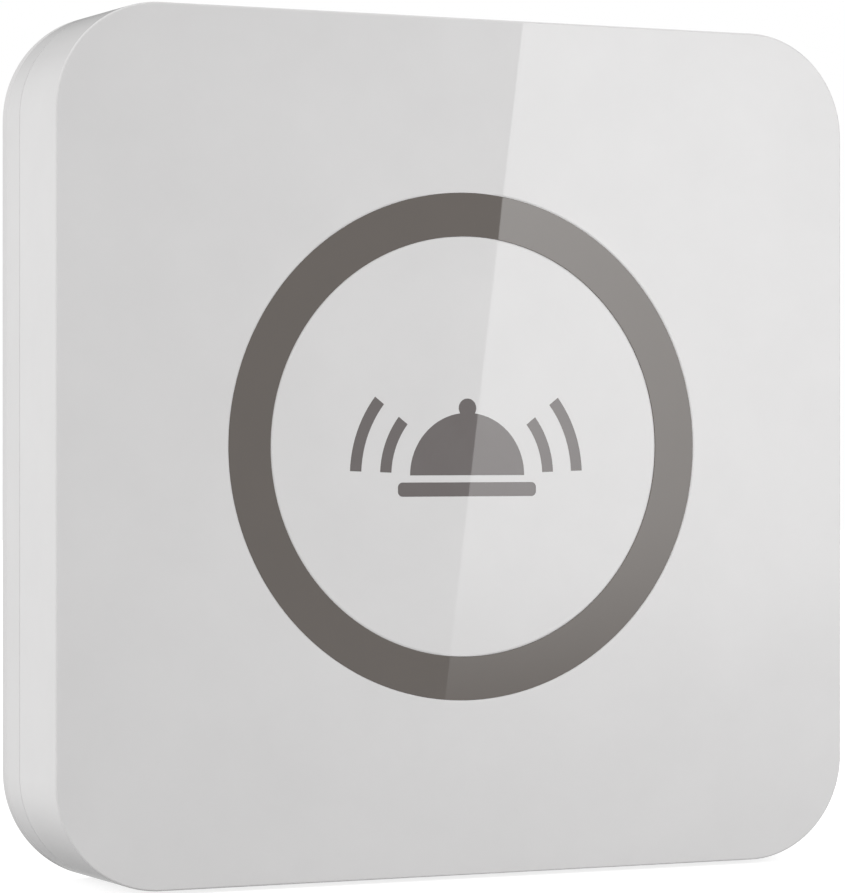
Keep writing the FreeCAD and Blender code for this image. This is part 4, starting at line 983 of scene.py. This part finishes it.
# A tall soft box in front of the object, to the right of the camera. Its left side is a sharp edge
# that leans. It fades out towards the table, grows brighter upwards, and gets dimmer to the right
# until nothing is left.
CARD_Y = -328.4 * MM
CARD_LEFT = 140.05 * MM
CARD_LEAN = 0.126
CARD_RIGHT = 300 * MM
CARD_TOP = 100 * MM
CARD_BRIGHT = 80 * MM
CARD_FOOT = -68 * MM
CARD_DARK = -62 * MM
CARD_MIDDLE = -8 * MM
FOOT_GLOW = 1.22
TOP_GLOW = 1.72
CARD_DIM_FROM = 150 * MM
CARD_DIM_TO = 220 * MM
CARD_DIM = 0.75
CARD_FADE_FROM = 235 * MM


def glow_softly(material, strength):
    """Finishes a material that only adds light, so that what is behind it still shows."""
    glow = add(material, "Emission", {}, {"Color": linear("#FFFFFF"), "Strength": strength})
    clear = add(material, "BsdfTransparent", {}, {})
    both = add(material, "AddShader", {}, {0: glow.outputs[0], 1: clear.outputs[0]})
    add(material, "OutputMaterial", {}, {"Surface": both.outputs[0]})


soft_box = new_material("soft_box")
place = add(soft_box, "TexCoord", {}, {}).outputs["Object"]
axes = add(soft_box, "SeparateXYZ", {}, {"Vector": place})
foot_fade = add(soft_box, "MapRange", {"interpolation_type": "SMOOTHSTEP"}, {
    "Value": axes.outputs["Z"], "From Min": CARD_DARK, "From Max": CARD_MIDDLE,
    "To Max": FOOT_GLOW})
top_gain = add(soft_box, "MapRange", {"clamp": False}, {
    "Value": axes.outputs["Z"], "From Min": CARD_FOOT, "From Max": CARD_BRIGHT,
    "To Max": TOP_GLOW})
full = add(soft_box, "Math", {"operation": "ADD"}, {
    0: foot_fade.outputs["Result"], 1: top_gain.outputs["Result"]})
dimmer = add(soft_box, "MapRange", {}, {
    "Value": axes.outputs["X"], "From Min": CARD_DIM_FROM, "From Max": CARD_DIM_TO, "To Min": 1.0,
    "To Max": CARD_DIM})
side_fade = add(soft_box, "MapRange", {"interpolation_type": "SMOOTHSTEP"}, {
    "Value": axes.outputs["X"], "From Min": CARD_RIGHT, "From Max": CARD_FADE_FROM})
dimmed = add(soft_box, "Math", {"operation": "MULTIPLY"}, {
    0: full.outputs[0], 1: dimmer.outputs["Result"]})
strength = add(soft_box, "Math", {"operation": "MULTIPLY"}, {
    0: dimmed.outputs[0], 1: side_fade.outputs["Result"]})
glow_softly(soft_box, strength.outputs[0])


def reflection_card(name, corners, material):
    """A flat card beside the object that only its polished faces see."""
    card = bmesh.new()
    card.faces.new([card.verts.new(corner) for corner in corners])
    piece = make_piece(name, card, material)
    piece.visible_camera = False
    piece.visible_diffuse = False
    piece.visible_shadow = False
    piece.visible_transmission = False


reflection_card("glare_card", [
    (CARD_LEFT + CARD_LEAN * CARD_FOOT, CARD_Y, CARD_FOOT), (CARD_RIGHT, CARD_Y, CARD_FOOT),
    (CARD_RIGHT, CARD_Y, CARD_TOP), (CARD_LEFT + CARD_LEAN * CARD_TOP, CARD_Y, CARD_TOP)],
    soft_box)

# A second, smaller box below the table's level lights the edges that face down. It fades out at
# its top and to the right.
LOW_CARD_TOP = -110 * MM
LOW_CARD_FULL = -210 * MM
LOW_CARD_FOOT = -450 * MM
LOW_CARD_RIGHT = 250 * MM
LOW_FADE_FROM = 205 * MM
LOW_GLOW = 2.4

low_box = new_material("low_box")
place = add(low_box, "TexCoord", {}, {}).outputs["Object"]
axes = add(low_box, "SeparateXYZ", {}, {"Vector": place})
top_fade = add(low_box, "MapRange", {"interpolation_type": "SMOOTHSTEP"}, {
    "Value": axes.outputs["Z"], "From Min": LOW_CARD_TOP, "From Max": LOW_CARD_FULL,
    "To Max": LOW_GLOW})
side_fade = add(low_box, "MapRange", {"interpolation_type": "SMOOTHSTEP"}, {
    "Value": axes.outputs["X"], "From Min": LOW_CARD_RIGHT, "From Max": LOW_FADE_FROM})
strength = add(low_box, "Math", {"operation": "MULTIPLY"}, {
    0: top_fade.outputs["Result"], 1: side_fade.outputs["Result"]})
glow_softly(low_box, strength.outputs[0])
reflection_card("low_card", [
    (CARD_LEFT, CARD_Y, LOW_CARD_FOOT), (LOW_CARD_RIGHT, CARD_Y, LOW_CARD_FOOT),
    (LOW_CARD_RIGHT, CARD_Y, LOW_CARD_TOP), (CARD_LEFT, CARD_Y, LOW_CARD_TOP)], low_box)

# Two black flags stand behind the object, above and below it, so that its round corners reflect
# something dark and stand out from the white room. They thin out towards the table's level.
FLAG_Y = 350 * MM
FLAG_SIZE = 600 * MM
FLAG_RIGHT = 190 * MM
FLAG_LEVEL = 70 * MM
FLAG_RAISE = 35 * MM
FLAG_CLEAR = -5 * MM
FLAG_DENSE = 170 * MM
FLAG_SLANT = 0.5
FLAG_COVER = 0.65

black_flag = new_material("black_flag")
place = add(black_flag, "TexCoord", {}, {}).outputs["Object"]
axes = add(black_flag, "SeparateXYZ", {}, {"Vector": place})
raised = add(black_flag, "Math", {"operation": "ADD"}, {0: axes.outputs["Z"], 1: FLAG_RAISE})
height = add(black_flag, "Math", {"operation": "ABSOLUTE"}, {0: raised.outputs[0]})
reach = add(black_flag, "Math", {"operation": "MULTIPLY_ADD"}, {
    0: axes.outputs["X"], 1: FLAG_SLANT, 2: height.outputs[0]})
cover = add(black_flag, "MapRange", {}, {
    "Value": reach.outputs[0], "From Min": FLAG_CLEAR, "From Max": FLAG_DENSE,
    "To Max": FLAG_COVER})
felt = add(black_flag, "BsdfDiffuse", {}, {"Color": linear("#1A1A1A")})
clear = add(black_flag, "BsdfTransparent", {}, {})
both = add(black_flag, "MixShader", {}, {
    0: cover.outputs["Result"], 1: clear.outputs[0], 2: felt.outputs[0]})
add(black_flag, "OutputMaterial", {}, {"Surface": both.outputs[0]})
for name, side in (("upper_flag", 1), ("lower_flag", -1)):
    near, far = side * FLAG_LEVEL / 2, side * FLAG_SIZE
    reflection_card(name, [(-FLAG_SIZE, FLAG_Y, near), (FLAG_RIGHT, FLAG_Y, near),
                           (FLAG_RIGHT, FLAG_Y, far), (-FLAG_SIZE, FLAG_Y, far)], black_flag)

# Two round area lamps shine at the object's middle: a broad one from the left and above, and a
# weak, small one close in front of the face. Sizes are in metres and powers in watts.
SIDE_LAMP_PLACE = (-0.9, -0.15, 0.35)
SIDE_LAMP_SIZE = 0.5
SIDE_LAMP_POWER = 3.1
FILL_LAMP_PLACE = (0.06, -0.15, 0.02)
FILL_LAMP_SIZE = 0.06
FILL_LAMP_POWER = 0.058

lamps = [("side_softbox", SIDE_LAMP_PLACE, SIDE_LAMP_SIZE, SIDE_LAMP_POWER),
         ("near_fill", FILL_LAMP_PLACE, FILL_LAMP_SIZE, FILL_LAMP_POWER)]
for name, place, size, power in lamps:
    light = bpy.data.lights.new(name, "AREA")
    light.shape = "DISK"
    light.size = size
    light.energy = power
    lamp = bpy.data.objects.new(name, light)
    bpy.context.scene.collection.objects.link(lamp)
    lamp.location = place
    lamp.rotation_euler = (-Vector(place)).to_track_quat("-Z", "Y").to_euler()
    lamp.visible_glossy = False

# The camera is level with the object's middle, to the left of its front.
CAMERA_PLACE = (-138.608 * MM, -328.442 * MM, 0.005 * MM)
CAMERA_TURN = math.radians(-23.2067)
CAMERA_LENS = 138.52
SENSOR = 36.0
CAMERA_NEAR = 0.01
CAMERA_FAR = 20.0

lens = bpy.data.cameras.new("camera")
lens.lens = CAMERA_LENS
lens.sensor_width = SENSOR
lens.clip_start = CAMERA_NEAR
lens.clip_end = CAMERA_FAR
camera = bpy.data.objects.new("camera", lens)
bpy.context.scene.collection.objects.link(camera)
camera.location = CAMERA_PLACE
camera.rotation_euler = (math.pi / 2, 0, CAMERA_TURN)
bpy.context.scene.camera = camera
bpy.context.scene.view_settings.view_transform = "Standard"
